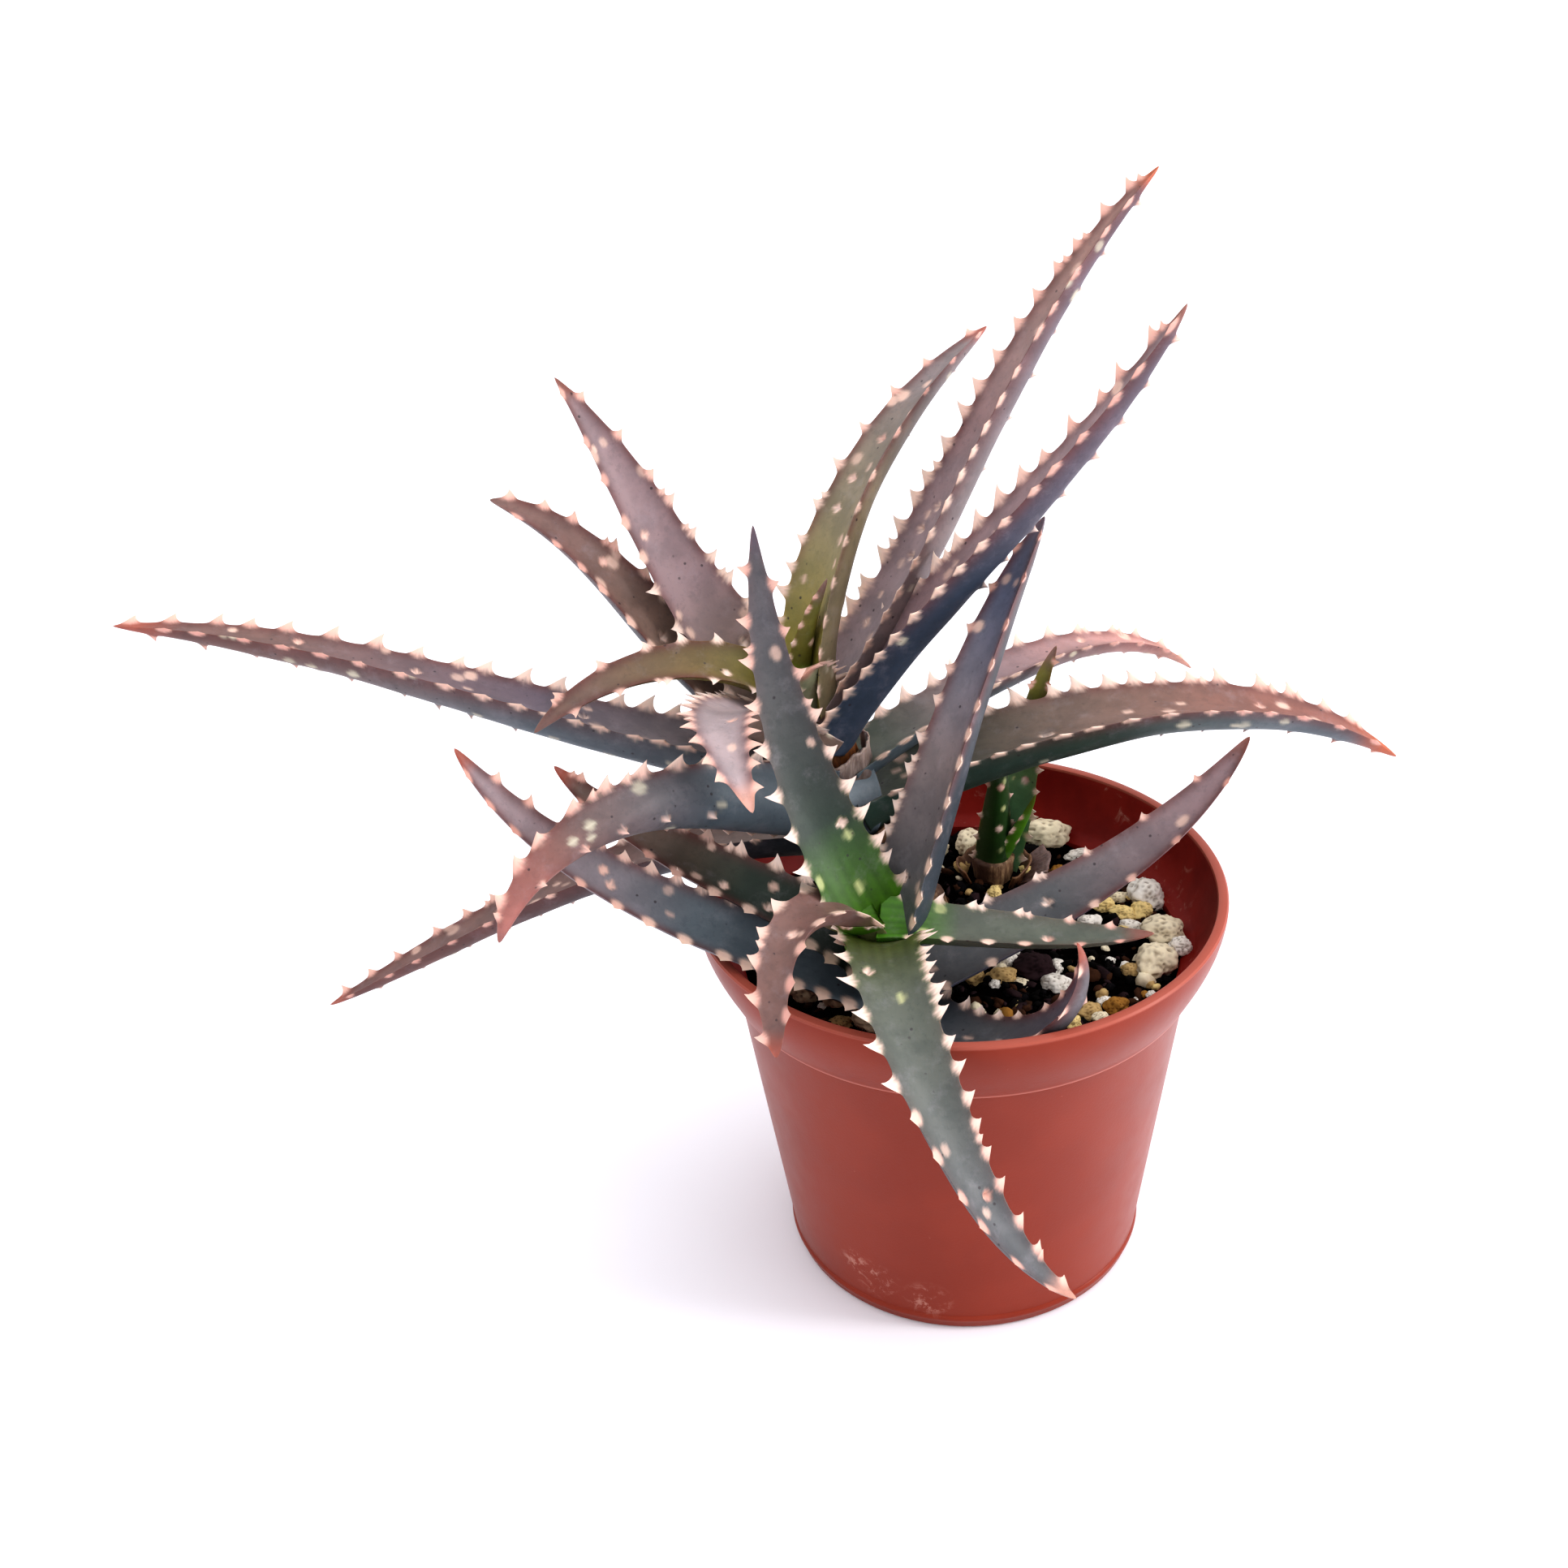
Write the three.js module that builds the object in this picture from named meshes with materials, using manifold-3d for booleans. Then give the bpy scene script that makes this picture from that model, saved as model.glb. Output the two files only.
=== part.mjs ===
// A potted aloe hybrid: three rooted shoots with toothed leaves, in soil, in a plastic nursery pot.
// Millimetres, +Z up. The origin is the middle of the pot's underside, and -Y is the front.

import * as THREE from "three";
import { mergeVertices } from "three/addons/utils/BufferGeometryUtils.js";
import Module from "manifold-3d";

const wasm = await Module();
wasm.setup();

// Clearance kept between any two neighbouring pieces
const GAP = 0.3;

// Pot
const POT_HEIGHT = 68;
const RIM_RADIUS = 42.5;
const RIM_THICKNESS = 1.8;
const BAND_BOTTOM = 55.4;
const BAND_RADIUS = 38.4;
const BODY_TOP_RADIUS = 36.9;
const BODY_BASE_RADIUS = 29.7;
const WALL = 1.4;
const FLOOR_TOP = 3.2;
const FOOT_HEIGHT = 1.5;
const FOOT_INNER_RADIUS = 27.5;
const CENTRE_PAD_RADIUS = 10;
const DRAIN_COUNT = 6;
const DRAIN_RADIUS = 3;
const DRAIN_CIRCLE_RADIUS = 18.5;
const POT_SEGMENTS = 36;
const LEDGE_HEIGHT = 1.6;
const EDGE_ROUND = 0.8;

// Soil and its stones
const SOIL_LEVEL = 56;
const SOIL_ROUGHNESS = 0.9;
const SOIL_SEGMENTS = 24;
const SOIL_SEED = 77;
const GRIT_COUNT = 12;
const GRIT_SPREAD = 29;
const GRIT_RADIUS = [1.4, 2.6];
const STONE_LUMPS = 0.14;
const STONE_WIDTH = 0.88;
const STONE_THICKNESS = 0.8;
const ROUND_STONE_RADIUS = 3.8;

// Leaves: the share of a blade's width that is lost by the tip and how late it is lost, the teeth along its
// lines, from base to tip, and the spines on its face
const BLADE_RINGS = 7;
const TAPER = [0.72, 1.8];
const TIP_CURVE = 12;
const TIP_POWER = 0.6;
const FIRST_TOOTH = 13.5;
const TOOTH_SPACING = [5.4, 8];
const TOOTH_HEIGHT = [2.7, 1.2];
const TOOTH_HALF_BASE = 1.3;
const FULL_TOOTH_WIDTH = 8;
const SPINE_HEIGHT = 1.2;
const SPINE_RADIUS = 0.8;
const SPINE_ROOT = 1.4;
const SPINE_SPACING = 34;
const SPINE_SEED = 500;

// Stems: foot and top of each axis, and the radius there. Places up a stem count from DATUM_HEIGHT.
const STEM_SIDES = 8;
const COLLAR_SPACING = 7;
const COLLAR_STEP = 0.35;
const DATUM_HEIGHT = 50;
const STEMS = {
  a: { foot: [2, 9, 42], top: [-25, 9, 99], footRadius: 3.7, topRadius: 3.0 },
  b: { foot: [-7.5, -16.5, 42], top: [-11.7, -22, 75], footRadius: 3.8, topRadius: 3.3 },
  d: { foot: [6, 21, 42], top: [6, 21, 61], footRadius: 4.4, topRadius: 3.2 },
};

// Leaves, from the youngest to the oldest on each stem. A leaf starts on the stem's axis, up mm along it
// from the datum. heading is its angle from +X, which changes by sweep on the way to the tip. rise is its
// slope at the base, the middle and the tip, and roll turns it about its own length, all in degrees.
// Two leaves narrow more than the others do, and have a taper of their own.
const LEAVES = {
  a: [
    { name: "a9", up: 54, heading: -40, sweep: 17, rise: [86, 72, 58], length: 22, width: 5, roll: 0 },
    { name: "a3", up: 52, heading: 50, sweep: -5, rise: [90, 47, 15], length: 71, width: 12, roll: -15 },
    { name: "a10", up: 53, heading: -85, sweep: 0, rise: [70, 45, -20], length: 15, width: 9, roll: 0 },
    { name: "a1", up: 50, heading: 157, sweep: 0, rise: [25, 58, 48], length: 66, width: 12.5, roll: -30,
      taper: [0.85, 1.8] },
    { name: "a7", up: 50, heading: 200, sweep: 0, rise: [60, 5, -40], length: 50, width: 8, roll: -30 },
    { name: "a4", up: 49.8, heading: 27, sweep: -1, rise: [45, 57, 36], length: 98, width: 11, roll: -10 },
    { name: "a2", up: 46, heading: 170, sweep: 0, rise: [5, 50, 10], length: 65, width: 11.5, roll: -20 },
    { name: "a5", up: 46, heading: -8, sweep: 0, rise: [58, 49, 58], length: 88, width: 12, roll: 2 },
    { name: "a8", up: 46, heading: 212, sweep: 96, rise: [31, 22, -56], length: 53, width: 11.5, roll: 0 },
    { name: "a14", up: 43, heading: 150, sweep: 10, rise: [5, 20, 35], length: 32, width: 6.5, roll: 0 },
    { name: "a6", up: 40, heading: 183, sweep: 0, rise: [6, 20, 2], length: 116, width: 13, roll: 8 },
    { name: "a13", up: 39, heading: 33.2, sweep: -1.5, rise: [15.6, 4.1, -49.6], length: 75.4, width: 9, roll: 0 },
    { name: "a12", up: 34, heading: 8, sweep: 3, rise: [19, 2, -43], length: 95, width: 15.5, roll: -2 },
    { name: "a11", up: 32, heading: 214, sweep: 12, rise: [10, 15, -68], length: 74, width: 13, roll: 80 },
    { name: "a15", up: 25, heading: 186, sweep: 4, rise: [14.5, -19, -27], length: 100, width: 11.3, roll: 5 },
  ],
  b: [
    { name: "b9", up: 28, heading: 200, sweep: -8, rise: [-4, 9, 30], length: 10, width: 6, roll: 0 },
    { name: "b3", up: 27, heading: -4, sweep: 0, rise: [0, -4, 8], length: 40.5, width: 8, roll: 10 },
    { name: "b1", up: 24, heading: 170, sweep: -69, rise: [63, 68, 80], length: 65, width: 12.5, roll: -30,
      taper: [0.85, 1.15] },
    { name: "b5", up: 23, heading: -94, sweep: 73, rise: [47, -46, -21], length: 70, width: 10.5, roll: 0 },
    { name: "b2", up: 22, heading: 51.3, sweep: 4.2, rise: [61.6, 54.3, 34.4], length: 69.4, width: 12, roll: -20 },
    { name: "b6", up: 18.5, heading: 188, sweep: 98, rise: [89, -2, -96], length: 47, width: 8.5, roll: 0 },
    { name: "b8", up: 16.4, heading: 163, sweep: 0, rise: [39, 19.5, 46], length: 61, width: 10, roll: -20 },
    { name: "b4", up: 14, heading: 22, sweep: 3, rise: [15, 21, 53], length: 68, width: 11, roll: 20 },
    { name: "b7", up: 12, heading: 180, sweep: -5, rise: [24, 29, 62], length: 78, width: 10.5, roll: -25 },
    { name: "b10", up: 11, heading: -51, sweep: 54, rise: [-5, 26, 107], length: 44.6, width: 9.5, roll: 0 },
  ],
  d: [
    { name: "d1", up: 8, heading: -80, sweep: 5, rise: [79, 77, 77], length: 26, width: 6, roll: 0 },
    { name: "d2", up: 6, heading: 6.8, sweep: 21.6, rise: [64.6, 81.9, 59.2], length: 43.9, width: 6.3, roll: 65 },
    { name: "d3", up: 8.5, heading: -30, sweep: 0, rise: [63, 63, 66], length: 18, width: 4, roll: 0 },
  ],
};

// Large stones that show between the leaves: place on the soil, and radius
const STONES = [
  { at: [14, 27.5], radius: 3.6 },
  { at: [18.5, 24], radius: 2.4 },
  { at: [28, 11.5], radius: 3.6 },
  { at: [24.5, 7.5], radius: 2.2 },
  { at: [30.5, 1], radius: 3.4 },
  { at: [29, -6.5], radius: 3.6 },
  { at: [12, -7.5], radius: 3.0 },
  { at: [15.5, -11], radius: 2.4 },
  { at: [-21, -14], radius: 3.4 },
  { at: [-15, -23], radius: 3.6 },
  { at: [-3, 30], radius: 3.2 },
  { at: [-26, 12], radius: 3.6 },
];

const COLOURS = {
  pot: { color: 0xa5493a, roughness: 0.45 },
  soil: { color: 0x3a2f28, roughness: 0.95 },
  stem: { color: 0x8a6a4c, roughness: 0.8 },
  leaf: { color: 0x6f746c, roughness: 0.6 },
};

// A repeatable stream of numbers from 0 to 1
function randomStream(seed) {
  let state = seed;
  return () => {
    state = (state * 1664525 + 1013904223) % 4294967296;
    return state / 4294967296;
  };
}

// A smooth lumpy value between about -1 and 1 at a place
function lumps(x, y, z) {
  return Math.sin(1.3 * x + 0.7 * y) * Math.cos(1.1 * y - 0.9 * z) + 0.3 * Math.sin(2.9 * z + 1.7 * x);
}

// Vertices closer together than this, in mm, count as one
const WELD = 1e-3;

function solidFrom(geometry) {
  const plain = geometry.clone();
  plain.deleteAttribute("normal");
  plain.deleteAttribute("uv");
  const merged = mergeVertices(plain, WELD);
  return new wasm.Manifold(
    new wasm.Mesh({
      numProp: 3,
      vertProperties: new Float32Array(merged.attributes.position.array),
      triVerts: new Uint32Array(merged.index.array),
    })
  );
}

function geometryFrom(solid) {
  const { vertProperties, triVerts } = solid.getMesh();
  const geometry = new THREE.BufferGeometry();
  geometry.setAttribute("position", new THREE.BufferAttribute(vertProperties, 3));
  geometry.setIndex(new THREE.BufferAttribute(triVerts, 1));
  return geometry;
}

// A cut can leave loose scraps beside a solid, so only its largest body is kept
function withoutScraps(solid) {
  return solid.decompose().reduce((most, body) => (body.volume() > most.volume() ? body : most));
}

function meshFrom(name, solid, colour) {
  const welded = solidFrom(geometryFrom(withoutScraps(solid)));
  const geometry = geometryFrom(withoutScraps(welded));
  geometry.computeVertexNormals();
  const mesh = new THREE.Mesh(geometry, new THREE.MeshStandardMaterial(COLOURS[colour]));
  mesh.name = name;
  return mesh;
}

function lathe(profile, segments) {
  const points = profile.map(([radius, height]) => new THREE.Vector2(radius, height));
  return new THREE.LatheGeometry(points, segments).rotateX(Math.PI / 2);
}

// Pot: one turned shell with a rim band, a foot ring and drain holes
const INNER_BASE_RADIUS = BODY_BASE_RADIUS - WALL + 0.3;
const INNER_TOP_RADIUS = BODY_TOP_RADIUS - WALL - 0.1;

function innerRadiusAt(height) {
  const share = (height - FLOOR_TOP) / (BAND_BOTTOM - FLOOR_TOP);
  return INNER_BASE_RADIUS + share * (INNER_TOP_RADIUS - INNER_BASE_RADIUS);
}

function bandRadiusAt(share) {
  return BAND_RADIUS + (RIM_RADIUS - BAND_RADIUS) * Math.sin((share * Math.PI) / 2);
}

function makePot() {
  const bandHeight = POT_HEIGHT - BAND_BOTTOM;
  const shares = [0, 0.3, 0.6, 0.95];
  const outer = shares.map((share) => [bandRadiusAt(share), BAND_BOTTOM + bandHeight * share]);
  const inner = shares
    .slice(1)
    .reverse()
    .map((share) => [bandRadiusAt(share) - RIM_THICKNESS, BAND_BOTTOM + bandHeight * share]);
  const profile = [
    [0, 0],
    [CENTRE_PAD_RADIUS, 0],
    [CENTRE_PAD_RADIUS + 1, FOOT_HEIGHT],
    [FOOT_INNER_RADIUS - 1, FOOT_HEIGHT],
    [FOOT_INNER_RADIUS, 0],
    [BODY_BASE_RADIUS - EDGE_ROUND, 0],
    [BODY_BASE_RADIUS, EDGE_ROUND],
    [BODY_TOP_RADIUS, BAND_BOTTOM - EDGE_ROUND],
    ...outer,
    [RIM_RADIUS - 0.4, POT_HEIGHT],
    [RIM_RADIUS - RIM_THICKNESS + 0.3, POT_HEIGHT],
    ...inner,
    [INNER_TOP_RADIUS, BAND_BOTTOM + LEDGE_HEIGHT],
    [INNER_TOP_RADIUS, BAND_BOTTOM],
    [innerRadiusAt(FLOOR_TOP + 1), FLOOR_TOP + 1],
    [INNER_BASE_RADIUS - 1, FLOOR_TOP],
    [0, FLOOR_TOP],
  ];
  let pot = solidFrom(lathe(profile, POT_SEGMENTS));
  for (let i = 0; i < DRAIN_COUNT; i++) {
    const angle = ((i + 0.5) / DRAIN_COUNT) * 2 * Math.PI;
    const drill = new THREE.CylinderGeometry(DRAIN_RADIUS, DRAIN_RADIUS, 4 * FLOOR_TOP, 10);
    drill.rotateX(Math.PI / 2);
    drill.translate(DRAIN_CIRCLE_RADIUS * Math.cos(angle), DRAIN_CIRCLE_RADIUS * Math.sin(angle), 0);
    pot = pot.subtract(solidFrom(drill));
  }
  return pot;
}

// Stems: round, tapered, with the collars that shed leaves left every few millimetres
function stemAxis({ foot, top }) {
  return new THREE.Vector3(...top).sub(new THREE.Vector3(...foot));
}

function makeStem(stem, grow = 0) {
  const axis = stemAxis(stem);
  const length = axis.length();
  const collars = Math.round(length / COLLAR_SPACING);
  const radiusAt = (share) => stem.footRadius + share * (stem.topRadius - stem.footRadius) + grow;
  const profile = [[0, -grow]];
  for (let i = 0; i < collars; i++) {
    profile.push([radiusAt(i / collars) - COLLAR_STEP, (length * i) / collars]);
    profile.push([radiusAt((i + 0.85) / collars) + COLLAR_STEP, (length * (i + 0.85)) / collars]);
  }
  profile[1][1] = -grow;
  profile.push([stem.topRadius * 0.8 + grow, length + grow], [0, length + 1 + grow]);
  const turned = lathe(profile, STEM_SIDES);
  turned.applyQuaternion(
    new THREE.Quaternion().setFromUnitVectors(new THREE.Vector3(0, 0, 1), axis.normalize())
  );
  turned.translate(...stem.foot);
  return solidFrom(turned);
}

// The point on a stem's axis that lies up mm along it from the datum
function stemPoint(stem, up) {
  const axis = stemAxis(stem);
  const share = (DATUM_HEIGHT - stem.foot[2]) / axis.z;
  const datum = new THREE.Vector3(...stem.foot).addScaledVector(axis, share);
  return datum.addScaledVector(axis.normalize(), up);
}

// Leaves
function bladeFrame(leaf, t) {
  const [base, middle, tip] = leaf.rise;
  const slope = base * (1 - t) * (1 - 2 * t) + 4 * middle * t * (1 - t) + tip * t * (2 * t - 1);
  const rise = THREE.MathUtils.degToRad(slope);
  const heading = THREE.MathUtils.degToRad(leaf.heading + leaf.sweep * t);
  const along = new THREE.Vector3(
    Math.cos(rise) * Math.cos(heading),
    Math.cos(rise) * Math.sin(heading),
    Math.sin(rise)
  );
  const side = new THREE.Vector3(-Math.sin(heading), Math.cos(heading), 0);
  side.applyAxisAngle(along, THREE.MathUtils.degToRad(leaf.roll));
  return { along, side, face: along.clone().cross(side) };
}

function centreline(leaf) {
  const steps = 48;
  const points = [leaf.root];
  for (let i = 0; i < steps; i++) {
    const { along } = bladeFrame(leaf, (i + 0.5) / steps);
    points.push(points[i].clone().addScaledVector(along, leaf.length / steps));
  }
  return (t) => {
    const whole = Math.min(Math.floor(t * steps), steps - 1);
    return points[whole].clone().lerp(points[whole + 1], t * steps - whole);
  };
}

function halfWidthAt(leaf, t) {
  const [share, curve] = leaf.taper ?? TAPER;
  const taper = 1 - share * Math.pow(t, curve);
  const tip = Math.pow(1 - Math.pow(t, TIP_CURVE), TIP_POWER);
  return (leaf.width / 2) * taper * tip;
}

// The eight lines that a blade's skin runs along, in order round the section: how far out they lie and
// how far above the margins' plane, as shares of the half width, and how tall their teeth are
const SECTION = [
  { across: 1, lift: 0.15, teeth: 1 },
  { across: 0.6, lift: 0 },
  { across: 0, lift: -0.12 },
  { across: -0.6, lift: 0 },
  { across: -1, lift: 0.15, teeth: 1 },
  { across: -0.66, lift: -0.55 },
  { across: 0, lift: -0.85, teeth: 0.45 },
  { across: 0.66, lift: -0.55 },
];
const KEEL_LINE = 6;

function plainStations() {
  return Array.from({ length: BLADE_RINGS }, (unused, i) => ({
    t: 1 - Math.pow(1 - i / BLADE_RINGS, 1.25),
    out: 0,
  }));
}

// Stations along a toothed line: each tooth is a notch, a point that leans to the tip, and a notch. The
// teeth get smaller and further apart on the way to the tip, and the keel has few near the base.
function toothStations(leaf, teeth, random) {
  const { lerp } = THREE.MathUtils;
  let stations = plainStations();
  let place = FIRST_TOOTH * (teeth < 1 ? 1.6 : 1) * (0.9 + 0.2 * random());
  while (place < leaf.length - 3) {
    const t = place / leaf.length;
    const size = Math.min(1, leaf.width / FULL_TOOTH_WIDTH) * (0.85 + 0.3 * random());
    const halfBase = (TOOTH_HALF_BASE * size * lerp(1, 0.65, t)) / leaf.length;
    stations = stations.filter((station) => Math.abs(station.t - t) > 1.2 * halfBase);
    stations.push(
      { t: t - halfBase, out: 0 },
      { t: t + 0.5 * halfBase, out: lerp(...TOOTH_HEIGHT, t) * teeth * size },
      { t: t + halfBase, out: 0 }
    );
    place += lerp(...TOOTH_SPACING, t) * (0.8 + 0.4 * random());
  }
  return stations.sort((a, b) => a.t - b.t);
}

// A blade's skin. stationsFor gives the stations of a line from the size of its teeth, and grow in mm
// swells the skin on all sides, which makes the body that the neighbours keep clear of.
function bladeGeometry(leaf, stationsFor, grow = 0) {
  const positions = [];
  const indices = [];
  const pointAt = centreline(leaf);
  const addVertex = (place) => ({ place, id: positions.push(place.x, place.y, place.z) / 3 - 1 });
  const columns = SECTION.map(({ across, lift, teeth }) => {
    return stationsFor(teeth).map(({ t, out }) => {
      const { along, side, face } = bladeFrame(leaf, t);
      const half = halfWidthAt(leaf, t);
      const outward = lift < -0.5 ? -1 : 1;
      const sideways = across * (half + 1.5 * grow + out);
      const upwards = lift * half + outward * (grow + (across === 0 ? out : 0));
      const point = pointAt(t).addScaledVector(side, sideways).addScaledVector(face, upwards);
      if (t === 0) point.addScaledVector(along, -grow);
      return addVertex(point);
    });
  });
  const tip = addVertex(pointAt(1).addScaledVector(bladeFrame(leaf, 1).along, grow));
  columns.forEach((column) => column.push(tip));
  const addFace = (a, b, c) => {
    if (a !== b && b !== c && c !== a) indices.push(a.id, b.id, c.id);
  };
  const span = (a, b) => (a && b ? a.place.distanceTo(b.place) : Infinity);
  columns.forEach((left, k) => {
    const right = columns[(k + 1) % columns.length];
    addFace(columns[KEEL_LINE][0], right[0], left[0]);
    let i = 0;
    let j = 0;
    while (i < left.length - 1 || j < right.length - 1) {
      if (span(left[i + 1], right[j]) <= span(left[i], right[j + 1])) addFace(left[i], right[j], left[++i]);
      else addFace(left[i], right[j], right[++j]);
    }
  });
  const geometry = new THREE.BufferGeometry();
  geometry.setAttribute("position", new THREE.Float32BufferAttribute(positions, 3));
  geometry.setIndex(indices);
  return geometry;
}

// Sparse three-sided spines on the upper face, with their roots sunk in the blade
function addSpines(blade, leaf, random) {
  const pointAt = centreline(leaf);
  const count = Math.floor(leaf.length / SPINE_SPACING);
  for (let i = 0; i < count; i++) {
    const t = 0.3 + (0.5 * (i + random())) / count;
    const { along, side, face } = bladeFrame(leaf, t);
    const across = (i % 2 ? 0.3 : -0.3) * halfWidthAt(leaf, t);
    const spine = new THREE.ConeGeometry(SPINE_RADIUS, SPINE_HEIGHT + SPINE_ROOT, 3);
    const lean = face.clone().addScaledVector(along, 0.5).normalize();
    spine.applyQuaternion(new THREE.Quaternion().setFromUnitVectors(new THREE.Vector3(0, 1, 0), lean));
    const root = pointAt(t).addScaledVector(side, across).addScaledVector(face, -0.2);
    blade = blade.add(solidFrom(spine.translate(root.x, root.y, root.z)));
  }
  return blade;
}

function makeLeaf(leaf, seed) {
  const random = randomStream(seed);
  const stationsFor = (teeth) => (teeth ? toothStations(leaf, teeth, random) : plainStations());
  const blade = solidFrom(bladeGeometry(leaf, stationsFor));
  return addSpines(blade, leaf, randomStream(seed + SPINE_SEED));
}

// Soil: a lumpy body that fills the pot, with stones half sunk in its surface
function makeSoil() {
  const rings = [0.8, 0.55, 0.28, 0];
  const edge = INNER_TOP_RADIUS - 1.5 * GAP;
  const bottom = FLOOR_TOP + GAP;
  const profile = [
    [0, bottom],
    [innerRadiusAt(bottom) - 1 - GAP, bottom],
    [innerRadiusAt(bottom + 1) - GAP - 0.1, bottom + 1],
    [edge, SOIL_LEVEL - 0.5],
    ...rings.map((share) => [edge * share, SOIL_LEVEL]),
  ];
  const geometry = lathe(profile, SOIL_SEGMENTS);
  const place = geometry.attributes.position;
  for (let i = 0; i < place.count; i++) {
    if (place.getZ(i) > SOIL_LEVEL - 0.1) {
      const bump = lumps(place.getX(i) * 0.5, place.getY(i) * 0.5, 0);
      place.setZ(i, SOIL_LEVEL + SOIL_ROUGHNESS * bump);
    }
  }
  let soil = solidFrom(geometry);
  const random = randomStream(SOIL_SEED);
  const grit = Array.from({ length: GRIT_COUNT }, () => {
    const angle = random() * 2 * Math.PI;
    const out = GRIT_SPREAD * Math.sqrt(random());
    const at = [out * Math.cos(angle), out * Math.sin(angle)];
    return { at, radius: THREE.MathUtils.lerp(...GRIT_RADIUS, random()) };
  });
  for (const { at, radius } of [...STONES, ...grit]) {
    const stone = new THREE.IcosahedronGeometry(radius, radius > ROUND_STONE_RADIUS ? 1 : 0);
    const skin = stone.attributes.position;
    for (let i = 0; i < skin.count; i++) {
      const [x, y, z] = [skin.getX(i), skin.getY(i), skin.getZ(i)];
      const swell = 1 + STONE_LUMPS * lumps(x + at[0], y + at[1], z);
      skin.setXYZ(i, x * swell, y * swell * STONE_WIDTH, z * swell * STONE_THICKNESS);
    }
    stone.rotateZ(random() * Math.PI);
    soil = soil.add(solidFrom(stone.translate(at[0], at[1], SOIL_LEVEL + 0.25 * radius)));
  }
  return soil;
}

// Assembly
const plant = new THREE.Group();
plant.add(meshFrom("pot", makePot(), "pot"));

let soil = makeSoil();
for (const [name, stem] of Object.entries(STEMS)) {
  soil = soil.subtract(makeStem(stem, GAP));
  plant.add(meshFrom(`stem_${name}`, makeStem(stem), "stem"));
}
plant.add(meshFrom("soil", soil, "soil"));

// Each leaf stays clear of its stem, and clasps the younger leaves that stand inside it
for (const [name, stem] of Object.entries(STEMS)) {
  const younger = [makeStem(stem, GAP)];
  LEAVES[name].forEach((row, order) => {
    const leaf = { ...row, root: stemPoint(stem, row.up) };
    const seed = name.charCodeAt(0) * 100 + order;
    const blade = younger.reduce((rest, cutter) => rest.subtract(cutter), makeLeaf(leaf, seed));
    younger.push(solidFrom(bladeGeometry(leaf, plainStations, 2 * GAP)));
    plant.add(meshFrom(`leaf_${leaf.name}`, blade, "leaf"));
  });
}

export default plant;
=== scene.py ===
# A potted aloe hybrid: three rooted shoots with long toothed leaves, in gritty soil, in a plastic pot.
# Metres, +Z up. The origin is the middle of the pot's underside, and -Y is the front.

import math
import random

import bpy
import numpy as np
from mathutils import Matrix, Vector, noise


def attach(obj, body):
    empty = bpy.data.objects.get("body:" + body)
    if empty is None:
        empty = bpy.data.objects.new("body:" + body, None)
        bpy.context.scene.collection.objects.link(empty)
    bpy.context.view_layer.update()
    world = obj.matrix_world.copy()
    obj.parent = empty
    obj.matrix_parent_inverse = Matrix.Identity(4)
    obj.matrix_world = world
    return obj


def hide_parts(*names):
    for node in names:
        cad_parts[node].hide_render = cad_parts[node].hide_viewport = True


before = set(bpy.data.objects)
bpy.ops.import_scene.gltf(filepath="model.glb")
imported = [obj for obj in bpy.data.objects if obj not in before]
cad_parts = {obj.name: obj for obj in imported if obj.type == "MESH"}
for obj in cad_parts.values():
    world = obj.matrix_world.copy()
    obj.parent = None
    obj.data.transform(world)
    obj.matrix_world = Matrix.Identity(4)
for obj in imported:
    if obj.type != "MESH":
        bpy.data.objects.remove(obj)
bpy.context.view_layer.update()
MM = 0.001

# Camera. It stands in front of the pot and looks down at it. It is turned a little to the left and
# rolled a little, as a camera held by hand is.
CAMERA_PLACE = Vector((0, -0.26303, 0.24003))
CAMERA_YAW = math.radians(-5.869)
CAMERA_DOWN = math.radians(30.048)
CAMERA_ROLL = math.radians(-3.781)
CAMERA_LENS = 44.72

ahead = Vector((
    math.sin(CAMERA_YAW) * math.cos(CAMERA_DOWN),
    math.cos(CAMERA_YAW) * math.cos(CAMERA_DOWN),
    -math.sin(CAMERA_DOWN),
))
level = Vector((math.cos(CAMERA_YAW), -math.sin(CAMERA_YAW), 0))
steep = level.cross(ahead)
right = math.cos(CAMERA_ROLL) * level + math.sin(CAMERA_ROLL) * steep
up = math.cos(CAMERA_ROLL) * steep - math.sin(CAMERA_ROLL) * level
bpy.ops.object.camera_add()
camera = bpy.context.object
camera.name = "camera"
camera.data.lens = CAMERA_LENS
camera.data.clip_start = 0.01
turn = Matrix((right, up, -ahead)).transposed().to_4x4()
camera.matrix_world = Matrix.Translation(CAMERA_PLACE) @ turn
bpy.context.scene.camera = camera

# Light. A bright white room under one wide, soft overhead lamp that stands a little to the right, and
# an upright soft strip at the right that glances off the pot.
ROOM_LIGHT = 1.1
ROOM_COLOUR = (0.98, 0.985, 1.0, 1)
LAMP_POWER = 0.9
LAMP_WIDTH = math.radians(60)
LAMP_SIDE = Vector((0.45, 0.1, 1))
STRIP_PLACE = Vector((0.55, -0.1, 0.25))
STRIP_AIM = Vector((0, 0, 0.05))
STRIP_WIDTH = 0.12
STRIP_HEIGHT = 0.6
STRIP_POWER = 2.5

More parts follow.
